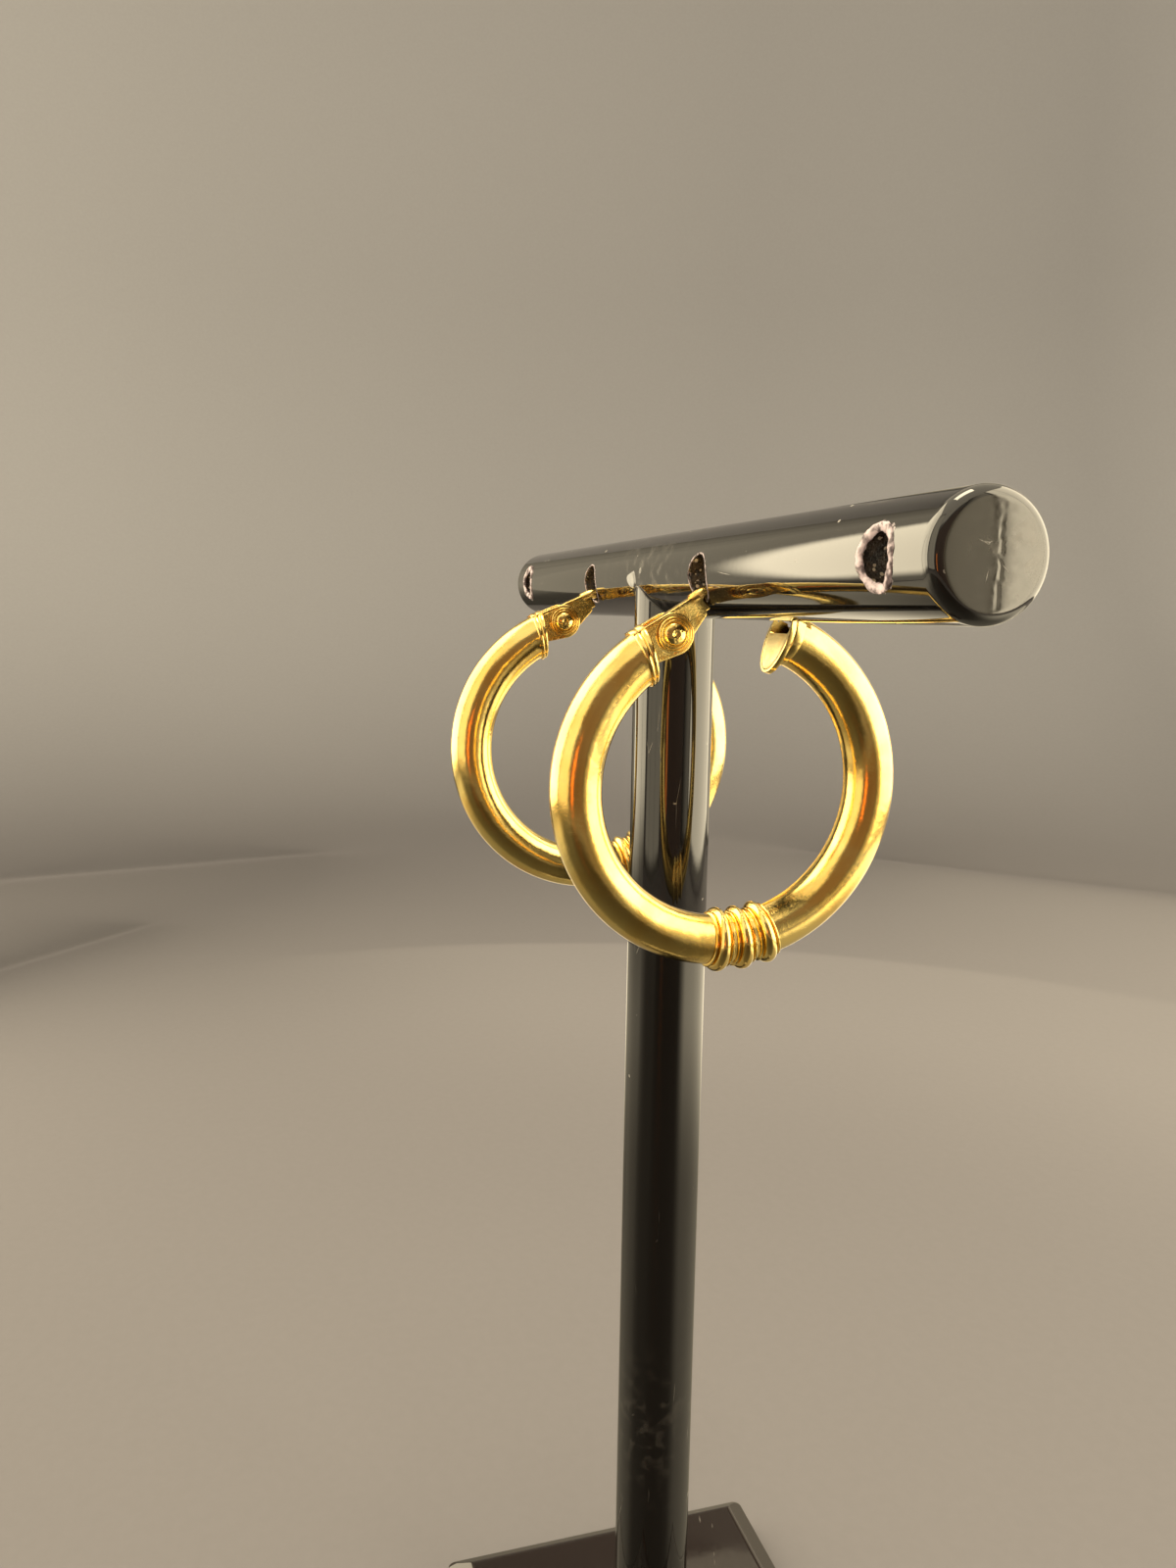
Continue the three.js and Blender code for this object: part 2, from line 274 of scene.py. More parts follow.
# Scattered specks of dust. Spacing and Size are in millimetres, Share is how many cells hold one.
def buildSpecks():
    tree, given, result = startGroup("dustSpecks", [
        ("Position", vectorSocket, None), ("Spacing", floatSocket, 1.0),
        ("Size", floatSocket, 0.1), ("Share", floatSocket, 0.3),
    ], [("Mask", floatSocket)])
    scale = addMath(tree, (-4, -1), "DIVIDE", 1.0, given["Spacing"])
    cells = addNode(tree, "ShaderNodeTexVoronoi", (-2, 0))
    tree.links.new(given["Position"], cells.inputs["Vector"])
    tree.links.new(scale, cells.inputs["Scale"])
    chance = addNode(tree, "ShaderNodeSeparateColor", (0, -1))
    tree.links.new(cells.outputs["Color"], chance.inputs[0])
    held = addMath(tree, (1, -1), "LESS_THAN", chance.outputs[0], given["Share"])
    reach = addMath(tree, (0, 1), "DIVIDE", given["Size"], given["Spacing"])
    reach = addMath(tree, (1, 1), "MULTIPLY", reach, chance.outputs[1])
    inside = addMath(tree, (2, 1), "LESS_THAN", cells.outputs["Distance"], reach)
    tree.links.new(addMath(tree, (3, 0), "MULTIPLY", inside, held), result["Mask"])
    return tree


# Thin broken scratches. Stretch is longer along the axis where its part is smaller.
def buildScratches():
    tree, given, result = startGroup("thinScratches", [
        ("Position", vectorSocket, None), ("Stretch", vectorSocket, (1.0, 1.0, 1.0)),
        ("Width", floatSocket, 0.02), ("Breaks", floatSocket, 0.5),
    ], [("Mask", floatSocket)])
    pulled = addNode(tree, "ShaderNodeVectorMath", (-4, 0), operation="MULTIPLY")
    tree.links.new(given["Position"], pulled.inputs[0])
    tree.links.new(given["Stretch"], pulled.inputs[1])
    cells = addNode(tree, "ShaderNodeTexVoronoi", (-2, 0), feature="DISTANCE_TO_EDGE")
    tree.links.new(pulled.outputs[0], cells.inputs["Vector"])
    cells.inputs["Scale"].default_value = 1.0
    line = addRange(tree, (0, 0), cells.outputs["Distance"], 0.0, given["Width"], 1.0, 0.0)
    gaps = addNode(tree, "ShaderNodeTexNoise", (-2, -2))
    tree.links.new(pulled.outputs[0], gaps.inputs["Vector"])
    gaps.inputs["Scale"].default_value = 1.7
    upper = addMath(tree, (0, -2), "ADD", given["Breaks"], 0.12)
    kept = addRange(tree, (2, -1), gaps.outputs[0], given["Breaks"], upper)
    tree.links.new(addMath(tree, (4, 0), "MULTIPLY", line, kept), result["Mask"])
    return tree


grainGroup = buildGrain()
cloudGroup = buildClouds()
speckGroup = buildSpecks()
scratchGroup = buildScratches()
print("stage: shader groups built")


def startMaterial(name):
    material = bpy.data.materials.new(name)
    material.use_nodes = True
    tree = material.node_tree
    shader = tree.nodes["Principled BSDF"]
    shader.location = (1600, 0)
    tree.nodes["Material Output"].location = (1900, 0)
    return material, tree, shader


# The point on the object in millimetres, which all textures work in
def addPosition(tree):
    where = addNode(tree, "ShaderNodeTexCoord", (-8, 0))
    position = addNode(tree, "ShaderNodeVectorMath", (-7, 0), operation="SCALE")
    tree.links.new(where.outputs["Object"], position.inputs[0])
    position.inputs["Scale"].default_value = 1 / metresPerMillimetre
    return position.outputs[0]


# A bump may lie on another one under it
def addBump(tree, place, height, strength, depth, under=None):
    made = addNode(tree, "ShaderNodeBump", place)
    made.inputs["Strength"].default_value = strength
    made.inputs["Distance"].default_value = depth * metresPerMillimetre
    tree.links.new(height, made.inputs["Height"])
    if under is not None:
        tree.links.new(under, made.inputs["Normal"])
    return made.outputs["Normal"]


# Gold. Tones are the clean metal and the tone that it drifts to in soft clouds.
def goldMaterial(name, look):
    material, tree, shader = startMaterial(name)
    position = addPosition(tree)
    shader.inputs["Metallic"].default_value = 1.0
    cloud = addGroup(tree, cloudGroup, (-5, 1), Position=position, Size=look["cloudSize"])["Cloud"]
    grain = addGroup(tree, grainGroup, (-5, -1), Position=position, Size=look["grainSize"],
                     Contrast=look["grainContrast"])["Grain"]
    scratch = addGroup(tree, scratchGroup, (-5, -3), Position=position, Stretch=look["scratchStretch"],
                       Width=look["scratchWidth"], Breaks=look["scratchBreaks"])["Mask"]
    tone = addMix(tree, (-2, 2), cloud, look["tone"], look["drift"])
    worn = addMath(tree, (-2, 0), "MULTIPLY", scratch, look["scratchShare"])
    tree.links.new(addMix(tree, (0, 2), worn, tone, look["scratchTone"]), shader.inputs["Base Color"])
    rough = addRange(tree, (-2, -1), grain, 0.0, 1.0, look["smooth"], look["rough"])
    marked = addMath(tree, (-1, -2), "MULTIPLY", scratch, look["scratchRough"])
    tree.links.new(addMath(tree, (0, -1), "ADD", rough, marked), shader.inputs["Roughness"])
    height = addMath(tree, (0, -3), "SUBTRACT", grain, scratch)
    wave = addGroup(tree, cloudGroup, (-5, -5), Position=position, Size=look["waveSize"],
                    Low=look["waveLow"], High=look["waveHigh"])["Cloud"]
    waved = addBump(tree, (3, -4), wave, look["waveBump"], look["waveDepth"])
    bumped = addBump(tree, (5, -3), height, look["bump"], look["grainDepth"], waved)
    tree.links.new(bumped, shader.inputs["Normal"])
    return material


polishedGold = {
    "tone": (1.0, 0.76, 0.26, 1.0), "drift": (0.98, 0.66, 0.18, 1.0), "scratchTone": (1.0, 0.85, 0.45, 1.0),
    "cloudSize": 4.0, "grainSize": 0.07, "grainDepth": 0.005, "bump": 0.5, "waveSize": 1.8, "waveDepth": 0.03,
    "smooth": 0.03, "rough": 0.11, "scratchStretch": (2.2, 0.55, 0.8), "scratchWidth": 0.012,
    "scratchBreaks": 0.56, "scratchRough": 0.15, "scratchShare": 0.35, "grainContrast": 0.6,
    "waveLow": 0.2, "waveHigh": 0.8, "waveBump": 0.5,
}
pressedGold = dict(polishedGold, smooth=0.15, rough=0.28, grainSize=0.12, grainDepth=0.009,
                   cloudSize=1.4, drift=(0.96, 0.60, 0.15, 1.0))
frostedGold = dict(polishedGold, tone=(1.0, 0.82, 0.42, 1.0), drift=(0.98, 0.74, 0.32, 1.0),
                   smooth=0.30, rough=0.48, grainSize=0.16, grainDepth=0.014, cloudSize=0.8)
goldTube = goldMaterial("polishedGoldTube", polishedGold)
goldPressed = goldMaterial("pressedGoldStrip", pressedGold)
goldTurned = goldMaterial("turnedGold", dict(polishedGold, smooth=0.09, rough=0.19, cloudSize=1.0))
goldFrosted = goldMaterial("frostedGoldPlate", frostedGold)


# Black acrylic, with dust, hairline scratches, a handled patch and, on the bar, pale cracked hole rims
def acrylicMaterial(name, look):
    material, tree, shader = startMaterial(name)
    position = addPosition(tree)
    shader.inputs["IOR"].default_value = look["gloss"]
    grain = addGroup(tree, grainGroup, (-5, 4), Position=position, Size=look["grainSize"],
                     Contrast=look["grainContrast"])["Grain"]
    dust = addGroup(tree, speckGroup, (-5, 2), Position=position, Spacing=look["dustSpacing"],
                    Size=look["dustSize"], Share=look["dustShare"])["Mask"]
    fluff = addGroup(tree, speckGroup, (-5, 1), Position=position,
                     Spacing=look["dustSpacing"] * look["fluffSpacing"],
                     Size=look["dustSize"] * look["fluffSize"], Share=look["dustShare"])["Mask"]
    scratch = addGroup(tree, scratchGroup, (-5, 0), Position=position, Stretch=look["scratchStretch"],
                       Width=look["scratchWidth"], Breaks=look["scratchBreaks"])["Mask"]
    cloud = addGroup(tree, cloudGroup, (-5, -2), Position=position, Size=look["smudgeSize"],
                     Low=look["smudgeLow"], High=look["smudgeHigh"])["Cloud"]
    offset = addNode(tree, "ShaderNodeVectorMath", (-5, -4), operation="DISTANCE")
    tree.links.new(position, offset.inputs[0])
    offset.inputs[1].default_value = look["smudgeCentre"]
    near = addRange(tree, (-4, -4), offset.outputs["Value"], 0.0, look["smudgeReach"], 1.0, 0.0)
    smudge = addMath(tree, (-3, -3), "MULTIPLY", near, cloud)
    specks = addMath(tree, (-3, 2), "MAXIMUM", dust, fluff)
    facing = addNode(tree, "ShaderNodeSeparateXYZ", (-5, 6))
    tree.links.new(addNode(tree, "ShaderNodeNewGeometry", (-6, 6)).outputs["Normal"], facing.inputs[0])
    settled = addRange(tree, (-4, 6), facing.outputs["Z"], look["dustSlope"], 1.0,
                       look["dustSides"], 1.0)
    specks = addMath(tree, (-3, 3), "MULTIPLY", specks, settled)
    scratch = addMath(tree, (-3, 0), "MULTIPLY", scratch, look["scratchShare"])
    marks = addMath(tree, (-2, 2), "MAXIMUM", specks, scratch)
    haze = addMath(tree, (-2, -3), "MULTIPLY", smudge, look["smudgeAmount"])
    tone = addMix(tree, (0, 3), marks, look["tone"], look["dustTone"])
    tone = addMix(tree, (1, 3), haze, tone, look["smudgeTone"])
    rough = addRange(tree, (-2, 4), grain, 0.0, 1.0, look["smooth"], look["rough"])
    rough = addMath(tree, (0, 1), "MULTIPLY_ADD", marks, look["marksRough"], rough)
    rough = addMath(tree, (1, 1), "MULTIPLY_ADD", haze, look["smudgeRough"], rough)
    height = addMath(tree, (0, -1), "MULTIPLY_ADD", grain, look["grainHeight"], marks)
    if look["rims"]:
        crack = addHoleRims(tree, position, look["rims"])
        tone = addMix(tree, (4, 3), crack, tone, look["rimTone"])
        rough = addMath(tree, (4, 1), "MULTIPLY_ADD", crack, look["rimRough"], rough)
    tree.links.new(tone, shader.inputs["Base Color"])
    tree.links.new(rough, shader.inputs["Roughness"])
    tree.links.new(addBump(tree, (6, -1), height, look["bump"], look["grainDepth"]), shader.inputs["Normal"])
    return material


# Pale crazed acrylic in a ragged ring round each drilled hole
def addHoleRims(tree, position, rims):
    parts = addNode(tree, "ShaderNodeSeparateXYZ", (-5, -6))
    tree.links.new(position, parts.inputs[0])
    across = addMath(tree, (-4, -6), "ABSOLUTE", parts.outputs["X"])
    ragged = addGroup(tree, cloudGroup, (-5, -8), Position=position, Size=rimCrack["raggedSize"],
                      Low=rimCrack["raggedLow"], High=rimCrack["raggedHigh"])["Cloud"]
    speckled = addGroup(tree, grainGroup, (-5, -9), Position=position, Size=rimCrack["speckSize"],
                        Contrast=rimCrack["speckContrast"])["Grain"]
    total = None
    for row, rim in enumerate(rims):
        sideways = addMath(tree, (-3, -6 - row), "SUBTRACT", across, rim["x"])
        upright = addMath(tree, (-3, -7 - row), "SUBTRACT", parts.outputs["Z"], rim["z"])
        squares = addMath(tree, (-2, -6 - row), "ADD", addMath(tree, (-2, -8), "POWER", sideways, 2.0),
                          addMath(tree, (-2, -9), "POWER", upright, 2.0))
        distance = addMath(tree, (-1, -6 - row), "SQRT", squares)
        reach = addMath(tree, (0, -6 - row), "MULTIPLY_ADD", ragged, rim["spread"], rim["radius"])
        ring = addMath(tree, (1, -6 - row), "LESS_THAN", distance, reach)
        outside = addMath(tree, (1, -7 - row), "GREATER_THAN", distance, rimCrack["innerRadius"])
        ring = addMath(tree, (2, -8 - row), "MULTIPLY", ring, outside)
        ring = addMath(tree, (2, -6 - row), "MULTIPLY", ring, rim["amount"])
        total = ring if total is None else addMath(tree, (3, -6), "MAXIMUM", total, ring)
    return addMath(tree, (3, -7), "MULTIPLY", total, speckled)


barDimensions = {
    "length": 80.0, "diameter": 6.35, "endRounding": 0.7, "endCrown": 0.06, "axisHeight": 96.7,
    "outerHoleX": 35.0, "innerHoleX": 12.3, "innerHoleDrop": 0.45, "holeDiameter": 2.9,
}
rodAcrylic = {
    "tone": (0.006, 0.0052, 0.005, 1.0), "gloss": 1.85, "smooth": 0.02, "rough": 0.06, "grainSize": 0.5,
    "grainDepth": 0.006, "dustTone": (0.55, 0.52, 0.48, 1.0), "dustSpacing": 1.1, "dustSize": 0.13,
    "dustShare": 0.6, "dustSides": 0.30, "dustSlope": 0.3, "fluffSpacing": 2.9, "fluffSize": 2.0,
    "scratchStretch": (0.12, 0.5, 0.5), "scratchWidth": 0.010, "scratchBreaks": 0.62, "scratchShare": 0.5,
    "smudgeTone": (0.13, 0.12, 0.11, 1.0), "smudgeCentre": (2.0, -2.5, 97.6), "smudgeReach": 15.0,
    "smudgeSize": 1.1, "smudgeLow": 0.48, "smudgeHigh": 0.7, "smudgeAmount": 0.32, "smudgeRough": 0.45,
    "marksRough": 0.5, "grainContrast": 0.7, "grainHeight": 0.15, "bump": 0.3,
    "rims": [], "rimTone": (0.62, 0.52, 0.54, 1.0), "rimRough": 0.4,
}
rimCrack = {
    "innerRadius": 1.49, "raggedSize": 0.55, "raggedLow": 0.3, "raggedHigh": 0.7,
    "speckSize": 0.16, "speckContrast": 0.35,
}
barHoleRims = [
    {"x": barDimensions["innerHoleX"], "z": barDimensions["axisHeight"] - barDimensions["innerHoleDrop"],
     "radius": 1.50, "spread": 0.22, "amount": 0.75},
    {"x": barDimensions["outerHoleX"], "z": barDimensions["axisHeight"],
     "radius": 1.60, "spread": 0.25, "amount": 0.8},
]
acrylicBar = acrylicMaterial("blackAcrylicBar", dict(rodAcrylic, rims=barHoleRims))
acrylicEnd = acrylicMaterial("satinAcrylicEnd", dict(
    rodAcrylic, tone=(0.035, 0.032, 0.025, 1.0), gloss=1.9, smooth=0.05, rough=0.14, dustShare=0.15,
    smudgeCentre=(40.0, 1.0, 96.0), smudgeReach=3.2, smudgeTone=(0.34, 0.30, 0.25, 1.0)))
acrylicPost = acrylicMaterial("blackAcrylicPost", dict(
    rodAcrylic, scratchStretch=(0.6, 0.6, 0.10), dustShare=0.22, smudgeCentre=(2.5, -2.0, 27.0),
    smudgeReach=9.0, smudgeAmount=0.2, gloss=1.7))
acrylicBase = acrylicMaterial("blackAcrylicBase", dict(
    rodAcrylic, tone=(0.014, 0.010, 0.009, 1.0), scratchStretch=(0.16, 0.2, 0.5), dustSpacing=1.9,
    dustShare=0.14, smudgeCentre=(9.0, -7.0, 4.0), smudgeReach=16.0, smudgeAmount=0.35, gloss=1.6))


# A matt or glossy surface mottled in two tones, with pale chips in it where its look has them
def mottledMaterial(name, look):
    material, tree, shader = startMaterial(name)
    position = addPosition(tree)
    shader.inputs["IOR"].default_value = look["gloss"]
    cloud = addGroup(tree, cloudGroup, (-5, 1), Position=position, Size=look["cloudSize"],
                     Low=look["cloudLow"], High=look["cloudHigh"])["Cloud"]
    grain = addGroup(tree, grainGroup, (-5, -3), Position=position, Size=look["grainSize"],
                     Contrast=look["grainContrast"])["Grain"]
    tone = addMix(tree, (-2, 1), cloud, look["dark"], look["pale"])
    if "chips" in look:
        chips = addGroup(tree, speckGroup, (-5, -1), Position=position, **look["chips"])["Mask"]
        tone = addMix(tree, (0, 1), chips, tone, look["chipTone"])
    rough = addRange(tree, (-2, -1), grain, 0.0, 1.0, look["smooth"], look["rough"])
    tree.links.new(tone, shader.inputs["Base Color"])
    tree.links.new(rough, shader.inputs["Roughness"])
    tree.links.new(addBump(tree, (2, -2), grain, look["bump"], look["grainDepth"]), shader.inputs["Normal"])
    return material


# Torn pale swarf round the holes
swarf = mottledMaterial("paleSwarf", {
    "gloss": 1.5, "dark": (0.09, 0.06, 0.07, 1.0), "pale": (0.70, 0.58, 0.62, 1.0),
    "cloudSize": 0.5, "cloudLow": 0.36, "cloudHigh": 0.6, "grainSize": 0.12, "grainContrast": 0.6,
    "smooth": 0.25, "rough": 0.6, "bump": 0.6, "grainDepth": 0.03,
})
# The rough bore of a drilled hole, brownish and full of bright chips
drilled = mottledMaterial("drilledBore", {
    "gloss": 1.5, "dark": (0.012, 0.008, 0.006, 1.0), "pale": (0.06, 0.04, 0.025, 1.0),
    "cloudSize": 0.5, "cloudLow": 0.4, "cloudHigh": 0.62, "grainSize": 0.14, "grainContrast": 0.5,
    "smooth": 0.15, "rough": 0.45, "bump": 0.8, "grainDepth": 0.06,
    "chips": {"Spacing": 0.28, "Size": 0.16, "Share": 0.3}, "chipTone": (0.75, 0.66, 0.52, 1.0),
})
# The cement squeezed out of the joint
cement = mottledMaterial("clearedCement", {
    "gloss": 1.7, "dark": (0.012, 0.011, 0.010, 1.0), "pale": (0.06, 0.055, 0.05, 1.0),
    "cloudSize": 0.8, "cloudLow": 0.4, "cloudHigh": 0.65, "grainSize": 0.3, "grainContrast": 0.8,
    "smooth": 0.04, "rough": 0.12, "bump": 0.3, "grainDepth": 0.01,
})
print("stage: materials built")


# Adds points along an outline's straight runs
def refine(outline, step):
    finer = []
    for here, following in zip(outline, outline[1:] + outline[:1]):
        here, following = np.array(here), np.array(following)
        pieces = max(int(np.hypot(*(following - here)) / step), 1)
        finer += [here + (following - here) * count / pieces for count in range(pieces)]
    return finer


# Base: a square slab with a bevel along each top edge
base = {
    "side": 30.5, "thickness": 4.0, "bevelWidth": 2.0, "bevelDrop": 1.4, "cornerRadius": 0.8,
    "edge": 0.12, "footEdge": 0.15, "cornerSteps": 10,
}


# A square with rounded corners, drawn in by an inset and set at a height
def squareRing(inset, height):
    half = base["side"] / 2 - inset
    radius = max(base["cornerRadius"] - inset, 0.1)
    ring = []
    for quarter, (alongX, alongY) in enumerate([(1, 1), (-1, 1), (-1, -1), (1, -1)]):
        for step in range(base["cornerSteps"] + 1):
            turn = math.pi / 2 * (quarter + step / base["cornerSteps"])
            ring.append([
                alongX * (half - radius) + radius * math.cos(turn),
                alongY * (half - radius) + radius * math.sin(turn),
                height,
            ])
    return np.array(ring)


def basePlate():
    slope = base["bevelDrop"] / base["bevelWidth"]
    shoulder = base["thickness"] - base["bevelDrop"]
    edge, foot = base["edge"], base["footEdge"]
    rows = [(foot + 1.0, 0.0), (foot, 0.0), (foot * 0.3, foot * 0.3), (0.0, foot), (0.0, foot + 0.1),
            (0.0, shoulder - edge - 0.1), (0.0, shoulder - edge), (edge * 0.25, shoulder + edge * 0.1),
            (edge, shoulder + edge * slope), (edge + 0.1, shoulder + (edge + 0.1) * slope),
            (base["cornerRadius"], shoulder + base["cornerRadius"] * slope)]
    top = base["bevelWidth"]
    rows += [(top - edge - 0.1, base["thickness"] - (edge + 0.1) * slope),
             (top - edge, base["thickness"] - edge * slope),
             (top, base["thickness"] - edge * 0.22), (top + edge, base["thickness"]),
             (top + edge + 0.2, base["thickness"])]
    piece = addPiece("basePlate", skinRings([squareRing(*row) for row in rows]))
    settle(piece, "stand", [acrylicBase], ["base_plate"], sharpAngle=40)


basePlate()


# Post: a round rod, coped to the bar, with squeezed-out cement at the joint
post = {
    "diameter": 6.2, "glueGap": 0.05, "edge": 0.06, "sides": 120, "rodRows": 40,
    "footMargin": 0.2, "headMargin": 0.6, "capShares": (0.94, 0.8, 0.6, 0.4, 0.2),
    "seamRadius": 0.09, "seamSteps": 160, "seamSides": 10, "seamSunk": 0.02, "seamGap": 0.03,
    "seamUneven": 0.35,
    "smearEdge": 0.05, "smearLean": 0.10, "smearRows": 10, "smearStep": 0.12, "smearRoot": 0.15,
    "smearSunk": 0.01, "smearRounding": 3.0, "smearRise": 4.0,
    "smear": [(-0.70, -1.35), (-1.10, -1.24), (-1.50, -1.06), (-1.78, -0.82), (-1.98, -0.52), (-2.10, -0.15),
              (-2.02, 0.08), (-1.70, 0.26), (-1.25, 0.36), (-0.82, 0.37), (-0.48, 0.26), (-0.25, 0.02),
              (-0.12, -0.27), (-0.14, -0.55), (-0.30, -0.85), (-0.48, -1.10)],
}


def saddleHeight(y, clearance):
    reach = barDimensions["diameter"] / 2 + clearance
    return barDimensions["axisHeight"] - math.sqrt(max(reach * reach - y * y, 0.0))


def uprightPost():
    radius, sides, edge = post["diameter"] / 2, post["sides"], post["edge"]
    bottom = base["thickness"] + post["glueGap"]

    def levelRing(size, height):
        return np.array([[size * cosine, size * sine, height] for cosine, sine in roundTurns(sides)])

    def saddleRing(size, below):
        return np.array([[size * cosine, size * sine, saddleHeight(size * sine, post["glueGap"]) - below]
                         for cosine, sine in roundTurns(sides)])

    rings = [levelRing(radius - edge - 0.3, bottom), levelRing(radius - edge, bottom)]
    rings += [levelRing(radius - edge * 0.3, bottom + edge * 0.3), levelRing(radius, bottom + edge)]
    low = bottom + edge + post["footMargin"]
    high = barDimensions["axisHeight"] - barDimensions["diameter"] / 2 - post["headMargin"]
    rows = post["rodRows"]
    rings += [levelRing(radius, low + (high - low) * step / rows) for step in range(rows + 1)]
    rings += [saddleRing(radius, below) for below in (edge + 0.08, edge)]
    rings += [saddleRing(radius - edge * 0.3, edge * 0.3), saddleRing(radius - edge, 0.0)]
    rings += [saddleRing(radius * share, 0.0) for share in post["capShares"]]
    rings.append(np.array([[0.0, 0.0, saddleHeight(0.0, post["glueGap"])]]))
    piece = addPiece("uprightPost", skinRings(rings))
    settle(piece, "stand", [acrylicPost], ["upright_post"])


uprightPost()


# Cement bead along the joint, a little uneven
def jointCement():
    reach = post["diameter"] / 2 - post["seamSunk"]
    rings = []
    for cosine, sine in roundTurns(post["seamSteps"]):
        centre = Vector((reach * cosine, reach * sine, saddleHeight(reach * sine, post["seamGap"])))
        outward = Vector((cosine, sine, 0.0))
        size = post["seamRadius"] * (1 + post["seamUneven"] * roughness(centre, 0.9))
        rings.append([centre + outward * size * aside + Vector((0, 0, 1)) * size * above
                      for aside, above in roundTurns(post["seamSides"])])
    piece = addPiece("jointCement", skinLoop(rings))
    settle(piece, "stand", [cement], sharpAngle=60)


jointCement()


# A leaf-shaped smear of cement that runs up the bar's side from the joint
def cementSmear():
    outline = refine([np.array(spot) for spot in post["smear"]], post["smearStep"])
    middle = sum(outline) / len(outline)
    surface = barDimensions["diameter"] / 2
    right = max(spot[0] for spot in outline)

    def onBar(spot, proud):
        turn = math.asin(max(-0.95, min(0.95, spot[1] / surface)))
        reach = surface + proud
        return (spot[0], -reach * math.cos(turn), barDimensions["axisHeight"] + reach * math.sin(turn))

    rings = [[onBar(spot, -post["smearRoot"]) for spot in outline]]
    for row in range(post["smearRows"]):
        share = row / post["smearRows"]
        rounded = post["smearEdge"] * min(1.0, post["smearRounding"] * share) - post["smearSunk"]
        lean = post["smearLean"] * min(1.0, post["smearRise"] * share)
        spots = [middle + (spot - middle) * (1 - share) for spot in outline]
        rings.append([onBar(spot, rounded + lean * (right - spot[0])) for spot in spots])
    crest = post["smearEdge"] - post["smearSunk"] + post["smearLean"] * (right - middle[0])
    rings.append([onBar(middle, crest)])
    piece = addPiece("cementSmear", skinRings(rings))
    settle(piece, "stand", [cement], sharpAngle=60)


cementSmear()


# Bar: a round rod with a softened, slightly crowned end and four drilled holes
bar = {
    "sides": 144, "fineStep": 0.2, "coarseStep": 1.6, "endRows": 26, "chipDepth": 0.010,
    "holeSides": 80, "mouthFlare": 0.30, "mouthDepth": 0.45, "drillMarks": 0.05, "fineReach": 2.4,
    "roundingSteps": 8, "boreMargin": 0.12,
    "holeDepths": [-0.6, -0.12, 0.0, 0.06, 0.13, 0.22, 0.34, 0.5, 0.8, 1.2],
}


def barHoles():
    height = barDimensions["axisHeight"]
    holes = []
    for side in (-1, 1):
        holes.append((side * barDimensions["outerHoleX"], height))
        holes.append((side * barDimensions["innerHoleX"], height - barDimensions["innerHoleDrop"]))
    return holes


def barSurface(height):
    rise = height - barDimensions["axisHeight"]
    return math.sqrt(max((barDimensions["diameter"] / 2) ** 2 - rise * rise, 0.0))


# A drill through the bar whose mouths are torn wider just under the bar's skin
def holeTool(x, z, seed):
    radius, sides = barDimensions["holeDiameter"] / 2, bar["holeSides"]
    rings = []
    for way, listed in ((1, bar["holeDepths"]), (-1, bar["holeDepths"][::-1])):
        for depth in listed:
            ring = []
            for dx, dz in roundTurns(sides):
                torn = 0.5 + 0.9 * roughness((dx * 2.4, dz * 2.4, way * 3.0), 1.6, seed)
                fading = max(1 - max(depth, 0.0) / bar["mouthDepth"], 0.0)
                flare = bar["mouthFlare"] * max(torn, 0.05) * fading
                bite = bar["drillMarks"] * roughness((dx * 3, dz * 3, depth * 4 * way), 2.2, seed + 5)
                size = radius + flare + bite * (depth > 0)
                skinY = barSurface(z + radius * dz)
                ring.append([x + size * dx, way * (skinY - depth), z + size * dz])
            rings.append(np.array(ring))
    return addPiece("drill", skinRings(rings))


def crossBar():
    radius, end = barDimensions["diameter"] / 2, barDimensions["length"] / 2
    rounding, crown = barDimensions["endRounding"], barDimensions["endCrown"]
    height = barDimensions["axisHeight"]
    places = {0.0}
    spot = 0.0
    while spot < end - rounding:
        close = min(abs(spot - abs(x)) for x, _ in barHoles())
        spot += bar["fineStep"] if close < bar["fineReach"] else bar["coarseStep"]
        places.add(round(min(spot, end - rounding), 4))
    half = [(x, radius) for x in sorted(places)]
    for step in range(1, bar["roundingSteps"] + 1):
        turn = math.pi / 2 * step / bar["roundingSteps"]
        half.append((end - crown - rounding * (1 - math.sin(turn)), radius - rounding * (1 - math.cos(turn))))
    flat = radius - rounding
    for row in range(1, bar["endRows"]):
        share = 1 - row / bar["endRows"]
        half.append((end - crown * share * share, flat * share))
    half.append((end, 0.0))
    profile = [(-x, r) for x, r in reversed(half)] + half[1:]
    rings = turned(profile, bar["sides"], "x")
    for ring in rings:
        for point in ring:
            chipEnd(point, end, flat)
            point[2] += height
    piece = addPiece("crossBar", skinRings(rings))
    for count, (x, z) in enumerate(barHoles()):
        combine(piece, [holeTool(x, z, 7.0 * count)], "DIFFERENCE")
    inside = barDimensions["holeDiameter"] / 2 + bar["boreMargin"]

    def pick(face):
        spot = face.center / metresPerMillimetre
        close = min(math.hypot(spot.x - x, spot.z - z) for x, z in barHoles())
        if abs(spot.x) > end - crown - 0.01:
            return 2
        return 1 if close < inside and abs(spot.y) < barSurface(spot.z) - bar["boreMargin"] else 0

    settle(piece, "stand", [acrylicBar, drilled, acrylicEnd], ["cross_bar"], pick=pick)


# A ragged chipped line down the face at the bar's near end
chip = {
    "line": 0.25, "wander": 0.22, "width": 0.16, "uneven": 0.12, "bias": 0.25,
}


